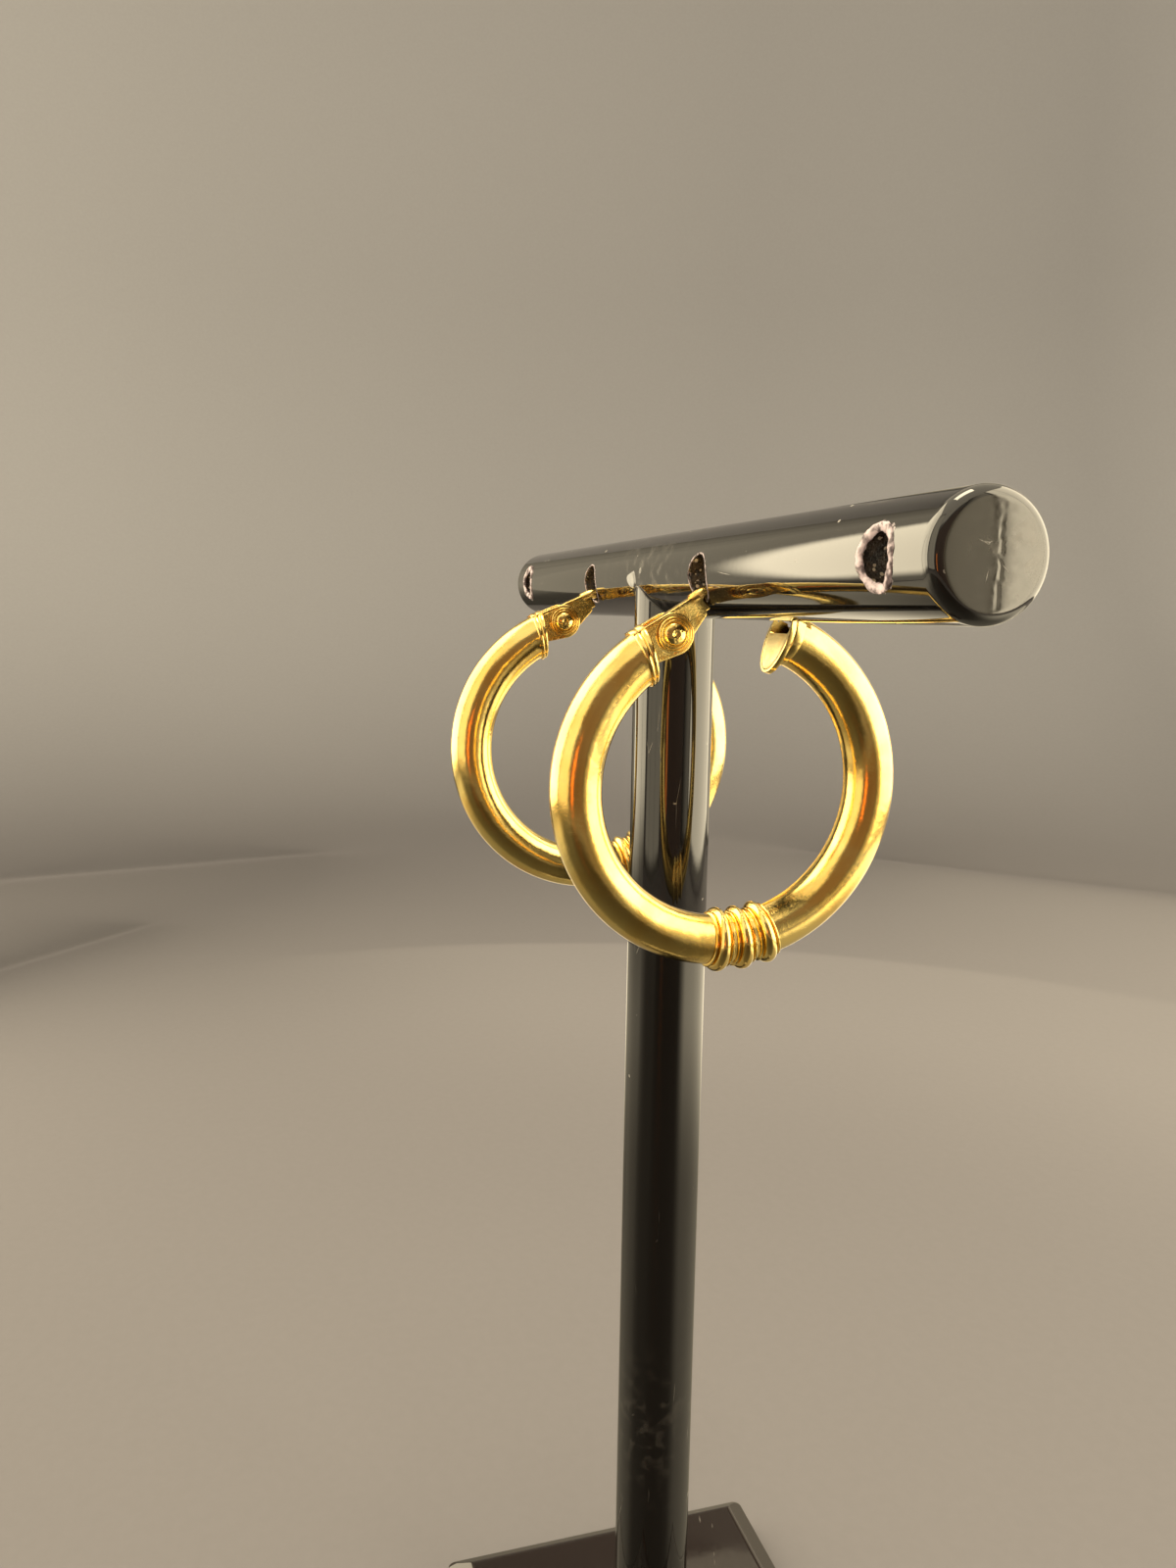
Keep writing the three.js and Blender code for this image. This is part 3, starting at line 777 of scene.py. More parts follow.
def chipEnd(point, end, flat):
    x, y, z = point
    if x > end - barDimensions["endCrown"] - 1e-3 and math.hypot(y, z) < flat:
        line = chip["line"] + chip["wander"] * roughness((0, 0, z), 0.9, 3.0)
        width = chip["width"] + chip["uneven"] * abs(roughness((0, y, z), 2.4))
        close = max(1 - abs(y - line) / width, 0.0)
        cut = max(roughness((0, y, z), 2.6, 9.0) + chip["bias"], 0.0)
        point[0] -= bar["chipDepth"] * close * cut


crossBar()


# Torn swarf standing round the holes' mouths
burr = {
    "outerSize": 0.25, "innerSize": 0.05, "outerReach": 0.02, "innerReach": 0.12, "steps": 110, "sides": 10,
    "grown": 0.5, "wander": 0.25, "sunk": 0.15, "ragged": 0.22, "flatness": 0.55,
}


def holeBurr(name, x, z, way, size, reach, seed):
    rings = []
    radius = barDimensions["holeDiameter"] / 2 + reach
    for dx, dz in roundTurns(burr["steps"]):
        grown = 1 + burr["grown"] * roughness((dx * 2, dz * 2, way), 1.1, seed)
        local = radius + burr["wander"] * size * roughness((dx, dz, way), 3.1, seed + 2)
        centre = Vector((x + local * dx, 0.0, z + local * dz))
        centre.y = way * (barSurface(centre.z) - burr["sunk"] * size)
        outward = Vector((dx, 0.0, dz))
        normal = Vector((0.0, centre.y, centre.z - barDimensions["axisHeight"])).normalized()
        ring = []
        for side, (aside, above) in enumerate(roundTurns(burr["sides"])):
            torn = roughness((dx * 3, dz * 3, side * 0.5), 2.0, seed + 4)
            ragged = size * grown * (1 + burr["ragged"] * torn)
            ring.append(centre + outward * ragged * aside + normal * ragged * burr["flatness"] * above)
        rings.append(ring)
    piece = addPiece(name, skinLoop(rings))
    settle(piece, "stand", [swarf], sharpAngle=60)


def allBurrs():
    for count, (x, z) in enumerate(barHoles()):
        outer = abs(x) > barDimensions["innerHoleX"] + 1
        size = burr["outerSize"] if outer else burr["innerSize"]
        reach = burr["outerReach"] if outer else burr["innerReach"]
        for way, word in ((-1, "Front"), (1, "Back")):
            holeBurr(f"holeBurr{word}{count + 1}", x, z, way, size, reach, 11.0 * count + way)


allBurrs()
print("stage: stand built")


# Hoop: a round tube, hollow at its open end, with collars, beads, an end plate and the hinge fork
hoop = {
    "outerDiameter": 25.0, "tubeDiameter": 3.5, "wall": 0.35, "hingeCollarAngle": 125.6,
    "collarWidth": 0.65, "tipAngle": 72.0, "plate": 0.4, "plateRim": 0.2, "plateRecess": 0.03,
    "plateHalfWidth": 1.78, "plateInner": 8.08, "tipCollarRadius": 1.85, "beadSpacing": 8.8, "sides": 96,
    "plainStep": 0.36, "collarEdge": [(0.005, 0.05), (0.03, 0.012), (0.08, 0.0)],
    "plateEdge": [(0.05, 0.0), (0.012, 0.02), (0.0, 0.07)], "plateSides": 96, "frostedReach": 2.9,
    "collarBase": 1.83, "collarRidge": 0.11, "collarRidgeHalf": 0.18, "collarTilt": 17.0, "tiltFade": 3.2,
    "beadHeight": 0.48, "beadHalf": 0.44, "lineHeight": 0.20, "lineHalf": 0.11, "lineOffset": 0.60,
    "pocketDepth": 5.0, "pocketSteps": 14, "pocketSides": 48, "forkStep": 0.25,
    "slotWidth": 2.8, "slotLength": 1.6, "slotFloorRadius": 10.9, "slotTop": 3.0, "slotPast": 0.5,
    "slotBevel": 0.1,
}
hinge = {
    "angle": 113.6, "ringRadius": 11.18, "earRadius": 1.4, "earThickness": 0.5, "gap": 0.9,
    "slotDepth": 1.65, "rootOuter": 12.55, "rootInner": 10.15, "holeRadius": 0.52, "shaftRadius": 0.45,
    "earEdge": 0.07, "earBorder": {"width": 0.17, "depth": 0.05}, "forkReach": 2.35, "forkHalf": 1.02,
    "pressedRing": 1.24, "pressedRingSize": 0.03, "pressedSteps": 72, "pressedSides": 10,
    "flangeRadius": 1.15, "seatGap": 0.04, "flange": 0.14, "domeRadius": 0.74, "domeHeight": 0.3,
    "headSides": 72, "domeSteps": 16, "rootInset": 0.03, "rootOverlap": 0.06, "drillSides": 40,
    "drillReach": 2.0, "crests": [(0.055, 0.15), (0.25, 0.17)], "worn": 0.035, "wornMost": 0.012,
    "pit": 0.09, "pitShare": 0.36,
    "crestShape": [(-0.045, 0.03), (-0.022, 0.006), (0.0, 0.0), (0.022, 0.006), (0.045, 0.03)],
}
ringRadius = (hoop["outerDiameter"] - hoop["tubeDiameter"]) / 2


def around(radius, degrees):
    turn = math.radians(degrees)
    return np.array([radius * math.cos(turn), radius * math.sin(turn)])


# Points of one raised ridge of the tube's profile: (along the tube, radius)
def ridge(centre, half, foot, height, steps=10):
    return [(centre - half * math.cos(math.pi * step / steps),
             foot + height * math.sin(math.pi * step / steps)) for step in range(steps + 1)]


def tubeProfile(beadAngle):
    radius = hoop["tubeDiameter"] / 2
    startAngle = hoop["hingeCollarAngle"] - math.degrees(hoop["collarWidth"] / 2 / ringRadius)
    length = math.radians(360 + hoop["tipAngle"] - startAngle) * ringRadius
    foot, rise, half = hoop["collarBase"], hoop["collarRidge"], hoop["collarRidgeHalf"]
    profile = [(0.0, 0.0), (0.0, 1.0), (0.0, foot - 0.01)]
    profile += ridge(half + 0.005, half, foot, rise) + ridge(3 * half + 0.02, half, foot, rise)
    profile += [(hoop["collarWidth"] + 0.02, radius + 0.02), (hoop["collarWidth"] + 0.09, radius)]
    beads = math.radians(360 + beadAngle - startAngle) * ringRadius
    spacing = math.radians(hoop["beadSpacing"]) * ringRadius
    for place in (-1, 0, 1):
        middle = beads + place * spacing
        profile += ridge(middle - hoop["lineOffset"], hoop["lineHalf"], radius - 0.02, hoop["lineHeight"], 6)
        profile += ridge(middle, hoop["beadHalf"], radius - 0.02, hoop["beadHeight"] + 0.02, 14)
        profile += ridge(middle + hoop["lineOffset"], hoop["lineHalf"], radius - 0.02, hoop["lineHeight"], 6)
    tip, wide = length - hoop["plate"], hoop["tipCollarRadius"]
    behind = tip - hoop["collarWidth"]
    profile += [(behind - 0.03, radius), (behind, radius + 0.03)]
    profile += [(behind + along, wide - drop) for along, drop in hoop["collarEdge"]]
    profile += [(tip - along, wide - drop) for along, drop in reversed(hoop["collarEdge"])]
    profile += [(tip, radius - 0.03), (tip + 0.04, radius), (length - 0.2, radius),
                (length - 0.19, radius - 0.01), (length - 0.18, 0.0)]
    filled = []
    for (fromAlong, fromRadius), (toAlong, toRadius) in zip(profile, profile[1:]):
        filled.append((fromAlong, fromRadius))
        span = toAlong - fromAlong
        pieces = max(int(span / hoop["plainStep"]), 1)
        for step in range(1, pieces):
            share = step / pieces
            filled.append((fromAlong + span * share, fromRadius + (toRadius - fromRadius) * share))
    filled.append(profile[-1])
    return filled, startAngle, length


# The hinge collar leans, so the rings near it are skewed along the tube
def sweepAlong(profile, startAngle, sides):
    rings = []
    slope = math.tan(math.radians(hoop["collarTilt"]))
    for along, radius in profile:
        lean = slope * max(1 - along / hoop["tiltFade"], 0.0)
        ring = []
        for cosine, sine in roundTurns(sides if radius > 0 else 1):
            lift = radius * cosine
            degrees = startAngle + math.degrees((along - lean * lift) / ringRadius)
            out, centre = around(1.0, degrees), around(ringRadius, degrees)
            ring.append([radius * sine, centre[0] + out[0] * lift, centre[1] + out[1] * lift])
        rings.append(np.array(ring))
    return rings


# The direction from a circle's centre to where the line from an outside point touches it
def tangentTurn(centre, radius, outside, side):
    offset = outside - centre
    return math.atan2(offset[1], offset[0]) + side * math.acos(radius / np.hypot(*offset))


def arcPoints(centre, radius, start, end, steps):
    turns = [start + (end - start) * step / steps for step in range(steps + 1)]
    return [centre + radius * np.array([math.cos(t), math.sin(t)]) for t in turns]


# Moves a closed outline inwards by a distance
def insetOutline(outline, distance):
    points = np.array(outline)
    before, after = np.roll(points, 1, 0), np.roll(points, -1, 0)
    area = np.sum(before[:, 0] * points[:, 1] - points[:, 0] * before[:, 1])
    way = 1.0 if area > 0 else -1.0
    moved = []
    for last, here, following in zip(before, points, after):
        one, two = here - last, following - here
        one, two = one / np.hypot(*one), two / np.hypot(*two)
        normal = np.array([-(one[1] + two[1]), one[0] + two[0]]) * way
        normal /= max(np.hypot(*normal), 1e-9)
        lean = max(normal @ (np.array([-one[1], one[0]]) * way), 0.5)
        moved.append(here + normal * distance / lean)
    return np.array(moved)


# A flat plate across X with rounded edges, from an outline in (y, z)
def roundedPlate(outline, low, high, edge, steps=4, border=None):
    rows = [(edge + 0.05, low), (edge, low)]
    if border:
        sunk = low + border["depth"]
        rows = [(border["width"] + 0.2, low + 0.01), (border["width"] + 0.09, low + 0.01),
                (border["width"] + 0.05, sunk), (border["width"], sunk), (border["width"] - 0.04, low),
                (edge, low)]
    for step in range(1, steps + 1):
        turn = math.pi / 2 * step / steps
        rows.append((edge * (1 - math.sin(turn)), low + edge * (1 - math.cos(turn))))
    rows += [(inset, low + high - x) for inset, x in reversed(rows)]
    rings = []
    for inset, x in rows:
        flat = insetOutline(outline, inset) if inset > 0 else np.array(outline)
        rings.append(np.column_stack([np.full(len(flat), x), flat]))
    return skinRings(rings)


# Rounds the sharp corners of an outline by cutting each one twice
def softenCorners(outline, cut):
    for reach, sharpest in ((cut, 20), (cut * 0.4, 14)):
        softer = []
        points = [np.array(point, float) for point in outline]
        for last, here, following in zip(points[-1:] + points[:-1], points, points[1:] + points[:1]):
            back, ahead = last - here, following - here
            backLength, aheadLength = np.hypot(*back), np.hypot(*ahead)
            straightness = -(back @ ahead) / (backLength * aheadLength)
            turn = math.degrees(math.acos(max(min(straightness, 1.0), -1.0)))
            if turn < sharpest:
                softer.append(here)
                continue
            softer.append(here + back * min(reach / backLength, 0.3))
            softer.append(here + ahead * min(reach / aheadLength, 0.3))
        outline = softer
    return outline


rivetCentre = around(hinge["ringRadius"], hinge["angle"])


def forkOutline():
    outer = around(hinge["rootOuter"], hoop["hingeCollarAngle"])
    inner = around(hinge["rootInner"], hoop["hingeCollarAngle"])
    start = tangentTurn(rivetCentre, hinge["earRadius"], outer, -1)
    end = tangentTurn(rivetCentre, hinge["earRadius"], inner, 1)
    while end > start:
        end -= 2 * math.pi
    return [outer] + arcPoints(rivetCentre, hinge["earRadius"], start, end, 40) + [inner]


# The solid root between the ears, from the gap's floor to the collar
def forkRoot():
    outer = around(hinge["rootOuter"], hoop["hingeCollarAngle"])
    inner = around(hinge["rootInner"], hoop["hingeCollarAngle"])
    outline = forkOutline()
    towards = (outer + inner) / 2 - rivetCentre
    towards /= np.hypot(*towards)
    corners = []
    for fixed, touch in ((outer, outline[1]), (inner, outline[-2])):
        line = touch - fixed
        share = (hinge["slotDepth"] - (fixed - rivetCentre) @ towards) / (line @ towards)
        corners.append((fixed, fixed + line * share))
    flat = [corners[0][0], corners[0][1], corners[1][1], corners[1][0]]
    flat = insetOutline(flat, hinge["rootInset"])
    half = hinge["gap"] / 2 + hinge["rootOverlap"]
    rings = [np.column_stack([np.full(4, x), flat]) for x in (-half, half)]
    return addPiece("root", skinRings(rings))


def pressedRing(side):
    seat = side * (hinge["gap"] / 2 + hinge["earThickness"])
    rings = []
    for cosine, sine in roundTurns(hinge["pressedSteps"]):
        ring = []
        for aside, above in roundTurns(hinge["pressedSides"]):
            reach = hinge["pressedRing"] + hinge["pressedRingSize"] * aside
            ring.append([seat + hinge["pressedRingSize"] * above,
                         rivetCentre[0] + reach * cosine, rivetCentre[1] + reach * sine])
        rings.append(ring)
    return addPiece("pressed", skinLoop(rings))


def rivetDrill():
    reach, radius = hinge["drillReach"], hinge["holeRadius"]
    rings = turned([(-reach, radius), (reach, radius)], hinge["drillSides"], "x")
    for ring in rings:
        ring[:, 1:] += rivetCentre
    return addPiece("rivetDrill", skinRings(rings))


# The oval plate on the tube's free end, with a bright rim round a sunken face
def tipPlate(length, startAngle):
    half, reach = hoop["plateHalfWidth"], ringRadius - hoop["plateInner"]
    outline = []
    for cosine, sine in roundTurns(hoop["plateSides"]):
        outline.append(np.array([half * cosine, sine * (hoop["tubeDiameter"] / 2 if sine > 0 else reach)]))
    thick, rim, recess = hoop["plate"], hoop["plateRim"], hoop["plateRecess"]
    rows = hoop["plateEdge"] + [(inset, thick - along) for inset, along in reversed(hoop["plateEdge"])]
    rows += [(rim - 0.04, thick), (rim, thick - 0.01), (rim + 0.04, thick - recess),
             (rim + 0.3, thick - recess)]
    degrees = startAngle + math.degrees((length - thick) / ringRadius)
    out, centre = around(1.0, degrees), around(ringRadius, degrees)
    onward = np.array([-out[1], out[0]])
    rings = []
    for inset, along in rows:
        flat = insetOutline(outline, inset) if inset > 0 else np.array(outline)
        spots = centre + flat[:, 1:2] * out + onward * along
        rings.append(np.column_stack([flat[:, 0], spots]))
    return addPiece("endPlate", skinRings(rings))


# The slot in the top of the tip, through the end plate and the tube's outer wall
def slotTool(endDegrees):
    out, centre = around(1.0, endDegrees), around(ringRadius, endDegrees)
    onward = np.array([-out[1], out[0]])
    floor = hoop["slotFloorRadius"] - ringRadius
    half, bevel, top, ways = hoop["slotWidth"] / 2, hoop["slotBevel"], hoop["slotTop"], []
    for along in (-hoop["slotLength"], hoop["slotPast"]):
        ring = []
        for x, lift in ((-half, floor + bevel), (-half + bevel, floor), (half - bevel, floor),
                        (half, floor + bevel), (half, top), (-half, top)):
            spot = centre + out * lift + onward * along
            ring.append([x, spot[0], spot[1]])
        ways.append(np.array(ring))
    return addPiece("slot", skinRings(ways))


def buildHoop(name, body, node, place, beadAngle):
    profile, startAngle, length = tubeProfile(beadAngle)
    endDegrees = startAngle + math.degrees(length / ringRadius)
    piece = addPiece(name, skinRings(sweepAlong(profile, startAngle, hoop["sides"])))
    inside = hoop["tubeDiameter"] / 2 - hoop["wall"]
    pocketStart = length - hoop["plate"] - hoop["pocketDepth"]
    pocket = [(pocketStart, 0.0), (pocketStart, inside)]
    pocket += [(pocketStart + hoop["pocketDepth"] * step / hoop["pocketSteps"], inside)
               for step in range(1, hoop["pocketSteps"] + 1)]
    pocket.append((length - hoop["plate"], 0.0))
    cavity = addPiece("cavity", skinRings(sweepAlong(pocket, startAngle, hoop["pocketSides"])))
    combine(piece, [tipPlate(length, startAngle)], "UNION")
    combine(piece, [cavity, slotTool(endDegrees)], "DIFFERENCE")
    outline = refine([list(point) for point in forkOutline()], hoop["forkStep"])
    ears = []
    for side in (-1, 1):
        low, high = sorted((side * hinge["gap"] / 2, side * (hinge["gap"] / 2 + hinge["earThickness"])))
        plate = roundedPlate(outline, low, high, hinge["earEdge"], border=hinge["earBorder"])
        ears.append(addPiece("ear", plate))
    combine(piece, ears + [forkRoot(), pressedRing(-1), pressedRing(1)], "UNION")
    combine(piece, [rivetDrill()], "DIFFERENCE")
    out = around(1.0, endDegrees)
    onward = Vector((0.0, -out[1], out[0]))
    tipSpot = Vector((0.0, *around(ringRadius, endDegrees)))

    # The end plate's flat face is frosted, and the fork is pressed strip
    tipNormal, tipPlace = place.to_3x3() @ onward, place @ tipSpot
    fork = place @ Vector((0.0, *rivetCentre))

    def pick(face):
        spot = face.center / metresPerMillimetre
        if face.normal.dot(tipNormal) > 0.9 and (spot - tipPlace).length < hoop["frostedReach"]:
            return 1
        aside = spot - fork
        return 2 if aside.length < hinge["forkReach"] and abs(aside.x) < hinge["forkHalf"] else 0

    settle(piece, body, [goldTube, goldFrosted, goldPressed], [node], place, pick=pick)


# Rivet: a pressed flange with rings and a worn dome on each side
def buildRivet(name, body, node, place):
    seat = hinge["gap"] / 2 + hinge["earThickness"] + hinge["seatGap"]
    rim = hinge["flangeRadius"]
    head = [(seat, hinge["shaftRadius"]), (seat, rim - 0.04), (seat + 0.02, rim), (seat + 0.09, rim)]
    for crest, height in hinge["crests"]:
        head += [(seat + height - drop, rim - crest - across) for across, drop in hinge["crestShape"]]
        head += [(seat + 0.045, rim - crest - 0.085), (seat + 0.045, rim - crest - 0.11)]
    top = seat + hinge["flange"] + hinge["domeHeight"]
    dome = hinge["domeRadius"]
    for step in range(1, hinge["domeSteps"] + 1):
        share = 1 - step / hinge["domeSteps"]
        drop = hinge["domeHeight"] * (1 - math.sqrt(max(1 - share * share, 0.0))) + 0.02
        pit = hinge["pit"] * max(1 - (share / hinge["pitShare"]) ** 2, 0.0)
        head.append((top - drop - pit, dome * share))
    profile = [(-along, radius) for along, radius in reversed(head)] + head
    rings = turned(profile, hinge["headSides"], "x")
    for ring in rings:
        for point in ring:
            spread = math.hypot(point[1], point[2])
            if abs(point[0]) > seat + 0.1 and spread < dome:
                worn = hinge["worn"] * roughness((point[0] * 2, point[1] * 5, point[2] * 5), 1.0, 4.0)
                point[0] += math.copysign(min(worn, hinge["wornMost"]), point[0])
        ring[:, 1:] += rivetCentre
    piece = addPiece(name, skinRings(rings))
    settle(piece, body, [goldTurned], [node], place, sharpAngle=50)


# Snap wire: a flat blade on the rivet, and the round wire that closes the hoop
snap = {
    "bladeThickness": 0.7, "eyeRadius": 1.3, "wireRadius": 0.4, "edge": 0.07,
    "bladeCorners": [(-2.22, 13.2), (-2.3, 12.65), (-1.95, 12.3), (-1.74, 12.05), (-1.82, 11.86),
                     (-2.02, 11.8), (-1.95, 11.55), (-2.32, 11.02), (-2.75, 10.35)],
    "wireRoute": [(-3.0, 12.45), (-2.2, 12.93), (-0.97, 13.2), (0.53, 13.45), (2.0, 13.68),
                  (3.1, 13.72), (3.95, 13.3), (4.3, 12.5), (4.27, 11.1)],
    "wireSides": 24, "wireSteps": 12, "eyeSteps": 36, "cornerCut": 0.1, "outlineStep": 0.22,
}


# A smooth curve through points, with even speed between uneven ones
def smoothRoute(points, steps):
    given = [np.array(point, float) for point in points]
    given = [2 * given[0] - given[1]] + given + [2 * given[-1] - given[-2]]
    route = []
    for zero, one, two, three in zip(given, given[1:], given[2:], given[3:]):
        gaps = [math.sqrt(np.hypot(*(b - a))) for a, b in ((zero, one), (one, two), (two, three))]
        startPull = ((one - zero) / gaps[0] - (two - zero) / (gaps[0] + gaps[1])
                     + (two - one) / gaps[1]) * gaps[1]
        endPull = ((two - one) / gaps[1] - (three - one) / (gaps[1] + gaps[2])
                   + (three - two) / gaps[2]) * gaps[1]
        for step in range(steps):
            t = step / steps
            route.append((2 * t**3 - 3 * t**2 + 1) * one + (t**3 - 2 * t**2 + t) * startPull
                         + (3 * t**2 - 2 * t**3) * two + (t**3 - t**2) * endPull)
    route.append(given[-2])
    return np.array(route)


def wireSkin():
    route = smoothRoute(snap["wireRoute"], snap["wireSteps"])
    ahead = np.gradient(route, axis=0)
    ahead /= np.hypot(ahead[:, 0], ahead[:, 1])[:, None]
    remaining = np.concatenate([np.cumsum(np.hypot(*np.diff(route, axis=0).T)[::-1])[::-1], [0.0]])
    rings = []
    for spot, way, left in zip(route, ahead, remaining):
        near = max(1 - left / snap["wireRadius"], 0.0)
        radius = snap["wireRadius"] * math.sqrt(max(1 - near * near, 0.0025))
        across = np.array([-way[1], way[0]])
        ring = []
        for cosine, sine in roundTurns(snap["wireSides"]):
            flat = spot + across * radius * cosine
            ring.append([radius * sine, flat[0], flat[1]])
        rings.append(np.array(ring))
    return skinRings(rings)


def buildSnapWire(name, node, place):
    corners = [np.array(corner) for corner in snap["bladeCorners"]]
    start = tangentTurn(rivetCentre, snap["eyeRadius"], corners[0], 1)
    end = tangentTurn(rivetCentre, snap["eyeRadius"], corners[-1], -1) + 2 * math.pi
    while end < start:
        end += 2 * math.pi
    outline = arcPoints(rivetCentre, snap["eyeRadius"], start, end, snap["eyeSteps"])
    outline += corners[::-1]
    outline = refine(softenCorners(outline, snap["cornerCut"]), snap["outlineStep"])
    half = snap["bladeThickness"] / 2
    piece = addPiece(name, roundedPlate(outline, -half, half, snap["edge"]))
    combine(piece, [addPiece("wire", wireSkin())], "UNION")
    combine(piece, [rivetDrill()], "DIFFERENCE")
    settle(piece, "stand", [goldPressed], [node], place)


earrings = [
    {"name": "near", "x": 12.3, "y": -0.5, "drop": 14.4, "turn": 0.0, "beadAngle": -84.0},
    {"name": "far", "x": -12.3, "y": -2.7, "drop": 14.45, "turn": -8.2, "beadAngle": -56.2},
]
for earring in earrings:
    where = Matrix.Translation((earring["x"], earring["y"], barDimensions["axisHeight"] - earring["drop"]))
    where = where @ Matrix.Rotation(math.radians(earring["turn"]), 4, "X")
    word = earring["name"]
    buildHoop(f"{word}Hoop", f"{word}_hoop", f"{word}_hoop", where, earring["beadAngle"])
    buildRivet(f"{word}Rivet", f"{word}_hoop", f"{word}_hinge_rivet", where)
    buildSnapWire(f"{word}SnapWire", f"{word}_snap_wire", where)
print("stage: earrings built")


# Studio: a pale seamless floor and backdrop, soft panels, a dark card with a faint painted glow, an amber
# glowing strip, a disc of painted reflection round the stand and two lamps.
# Here lengths are in metres.
studio = {
    "floorTone": (0.17, 0.163, 0.175, 1.0), "wallTone": (0.36, 0.36, 0.385, 1.0), "wallRise": (0.36, 0.70),
    "floorReach": 0.42, "sweepRadius": 0.3, "sweepSteps": 16, "wallHeight": 1.1, "sides": 96,
    "grainSize": 1.5, "grainContrast": 0.9, "grainShade": 0.96, "roughness": 0.75,
    "worldTone": (0.62, 0.57, 0.50, 1.0), "worldStrength": 0.35,
}
plainPanel = {
    "low": 0.004, "high": 0.50, "lean": 0.0, "dim": 0.0, "foot": 0.02, "fade": 0.03, "seams": (0.30, 0.62),
}
panels = [
    dict(plainPanel, name="rightPanel", azimuth=74.2, distance=0.30, width=0.55, light=4.6, start=0.03,
         soft=0.04, seams=(0.22, 0.80)),
    dict(plainPanel, name="leftPanel", azimuth=227, distance=0.23, low=0.002, width=0.322, light=4.8,
         start=0.27, soft=0.06, lean=0.22, dim=0.12, foot=0.10, seams=(0.45, 0.75)),
    dict(plainPanel, name="sidePanel", azimuth=288, distance=0.30, width=0.255, light=1.3, start=0.05,
         soft=0.1, fade=0.06),
    dict(plainPanel, name="leftSpill", azimuth=192, distance=0.36, high=0.45, width=0.15, light=0.5,
         start=0.2, soft=0.7, dim=0.2, foot=0.2, fade=0.01),
    dict(plainPanel, name="rightSpill", azimuth=134, distance=0.36, high=0.34, width=0.22, light=1.0,
         start=0.02, soft=0.04, fade=0.4),
    dict(plainPanel, name="frontSpill", azimuth=22, distance=0.36, high=0.40, width=0.12, light=0.8,
         start=0.4, soft=0.8, fade=0.01),
]
panelTone = (1.0, 0.86, 0.60, 1.0)
panelBase = (0.02, 0.02, 0.02, 1.0)
panelSeam = {"half": 0.006, "shade": 0.25}
panelFootShade = 0.1
card = {"name": "frontCard", "azimuth": -17, "distance": 0.33, "low": 0.002, "high": 0.30, "width": 0.366}
# The colour and strength of the card's faint painted warm glow
cardGlowTone, cardLight = (1.0, 0.52, 0.34, 1.0), 0.12
glow = {"name": "amberGlow", "azimuth": -33, "distance": 0.31, "low": 0.02, "high": 0.11, "width": 0.028}
glowTone, glowLight = (1.0, 0.28, 0.05, 1.0), 1.3
# The disc of painted reflection round the stand: where its painted shade and its painted shine fall, and how
# dim and bright they are
floorShade = {
    "radius": 0.235, "height": 0.0006, "sides": 96, "dim": 0.25, "bright": 1.8, "from": 0.09, "to": 0.19,
    "away": (-0.866, 0.5), "awayFrom": -0.7, "awayTo": -0.25, "leftShare": 0.35, "turnHalf": 0.05,
    "nearest": 0.001,
}
lamps = [
    {"name": "topLamp", "height": 0.62, "size": 1.3, "power": 5.3},
    {"name": "highLight", "height": 0.50, "size": 0.16, "power": 0.8},
]


def seamlessBackdrop():
    rings = [np.array([[0.0, 0.0, 0.0]])]
    reach, bend = studio["floorReach"], studio["sweepRadius"]
    profile = [(reach * share, 0.0) for share in (0.1, 0.3, 0.6, 0.8, 1.0)]
    for step in range(1, studio["sweepSteps"] + 1):
        turn = math.pi / 2 * step / studio["sweepSteps"]
        profile.append((reach + bend * math.sin(turn), bend * (1 - math.cos(turn))))
    profile.append((reach + bend, studio["wallHeight"]))
    for radius, height in profile:
        rings.append(np.array([[radius * cosine, radius * sine, height]
                               for cosine, sine in roundTurns(studio["sides"])]))
    points, faces = skinRings(rings)
    floor = addPiece("seamlessFloor", (points, faces[:-1]))
    material, tree, shader = startMaterial("paleFloor")
    position = addPosition(tree)
    grain = addGroup(tree, grainGroup, (-4, 0), Position=position, Size=studio["grainSize"],
                     Contrast=studio["grainContrast"])["Grain"]
    parts = addNode(tree, "ShaderNodeSeparateXYZ", (-7, 2))
    tree.links.new(addNode(tree, "ShaderNodeNewGeometry", (-8, 2)).outputs["Position"], parts.inputs[0])
    flat = addMath(tree, (-6, 2), "MULTIPLY", parts.outputs["X"], parts.outputs["X"])
    flat = addMath(tree, (-5, 2), "SQRT", addMath(tree, (-6, 1), "MULTIPLY_ADD", parts.outputs["Y"],
                                                  parts.outputs["Y"], flat))
    rise = addRange(tree, (-4, 2), flat, *studio["wallRise"])
    tone = addMix(tree, (-3, 2), rise, studio["floorTone"], studio["wallTone"])
    speckled = addNode(tree, "ShaderNodeHueSaturation", (-1, 1))
    tree.links.new(tone, speckled.inputs["Color"])
    shade = addRange(tree, (-2, 0), grain, 0.0, 1.0, studio["grainShade"], 1.0)
    tree.links.new(shade, speckled.inputs["Value"])
    tree.links.new(speckled.outputs["Color"], shader.inputs["Base Color"])
    shader.inputs["Roughness"].default_value = studio["roughness"]
    floor.data.materials.append(material)
    floor.data.shade_smooth()


def placed(azimuth, distance, height):
    turn = math.radians(azimuth)
    return Vector((distance * math.cos(turn), distance * math.sin(turn), height))


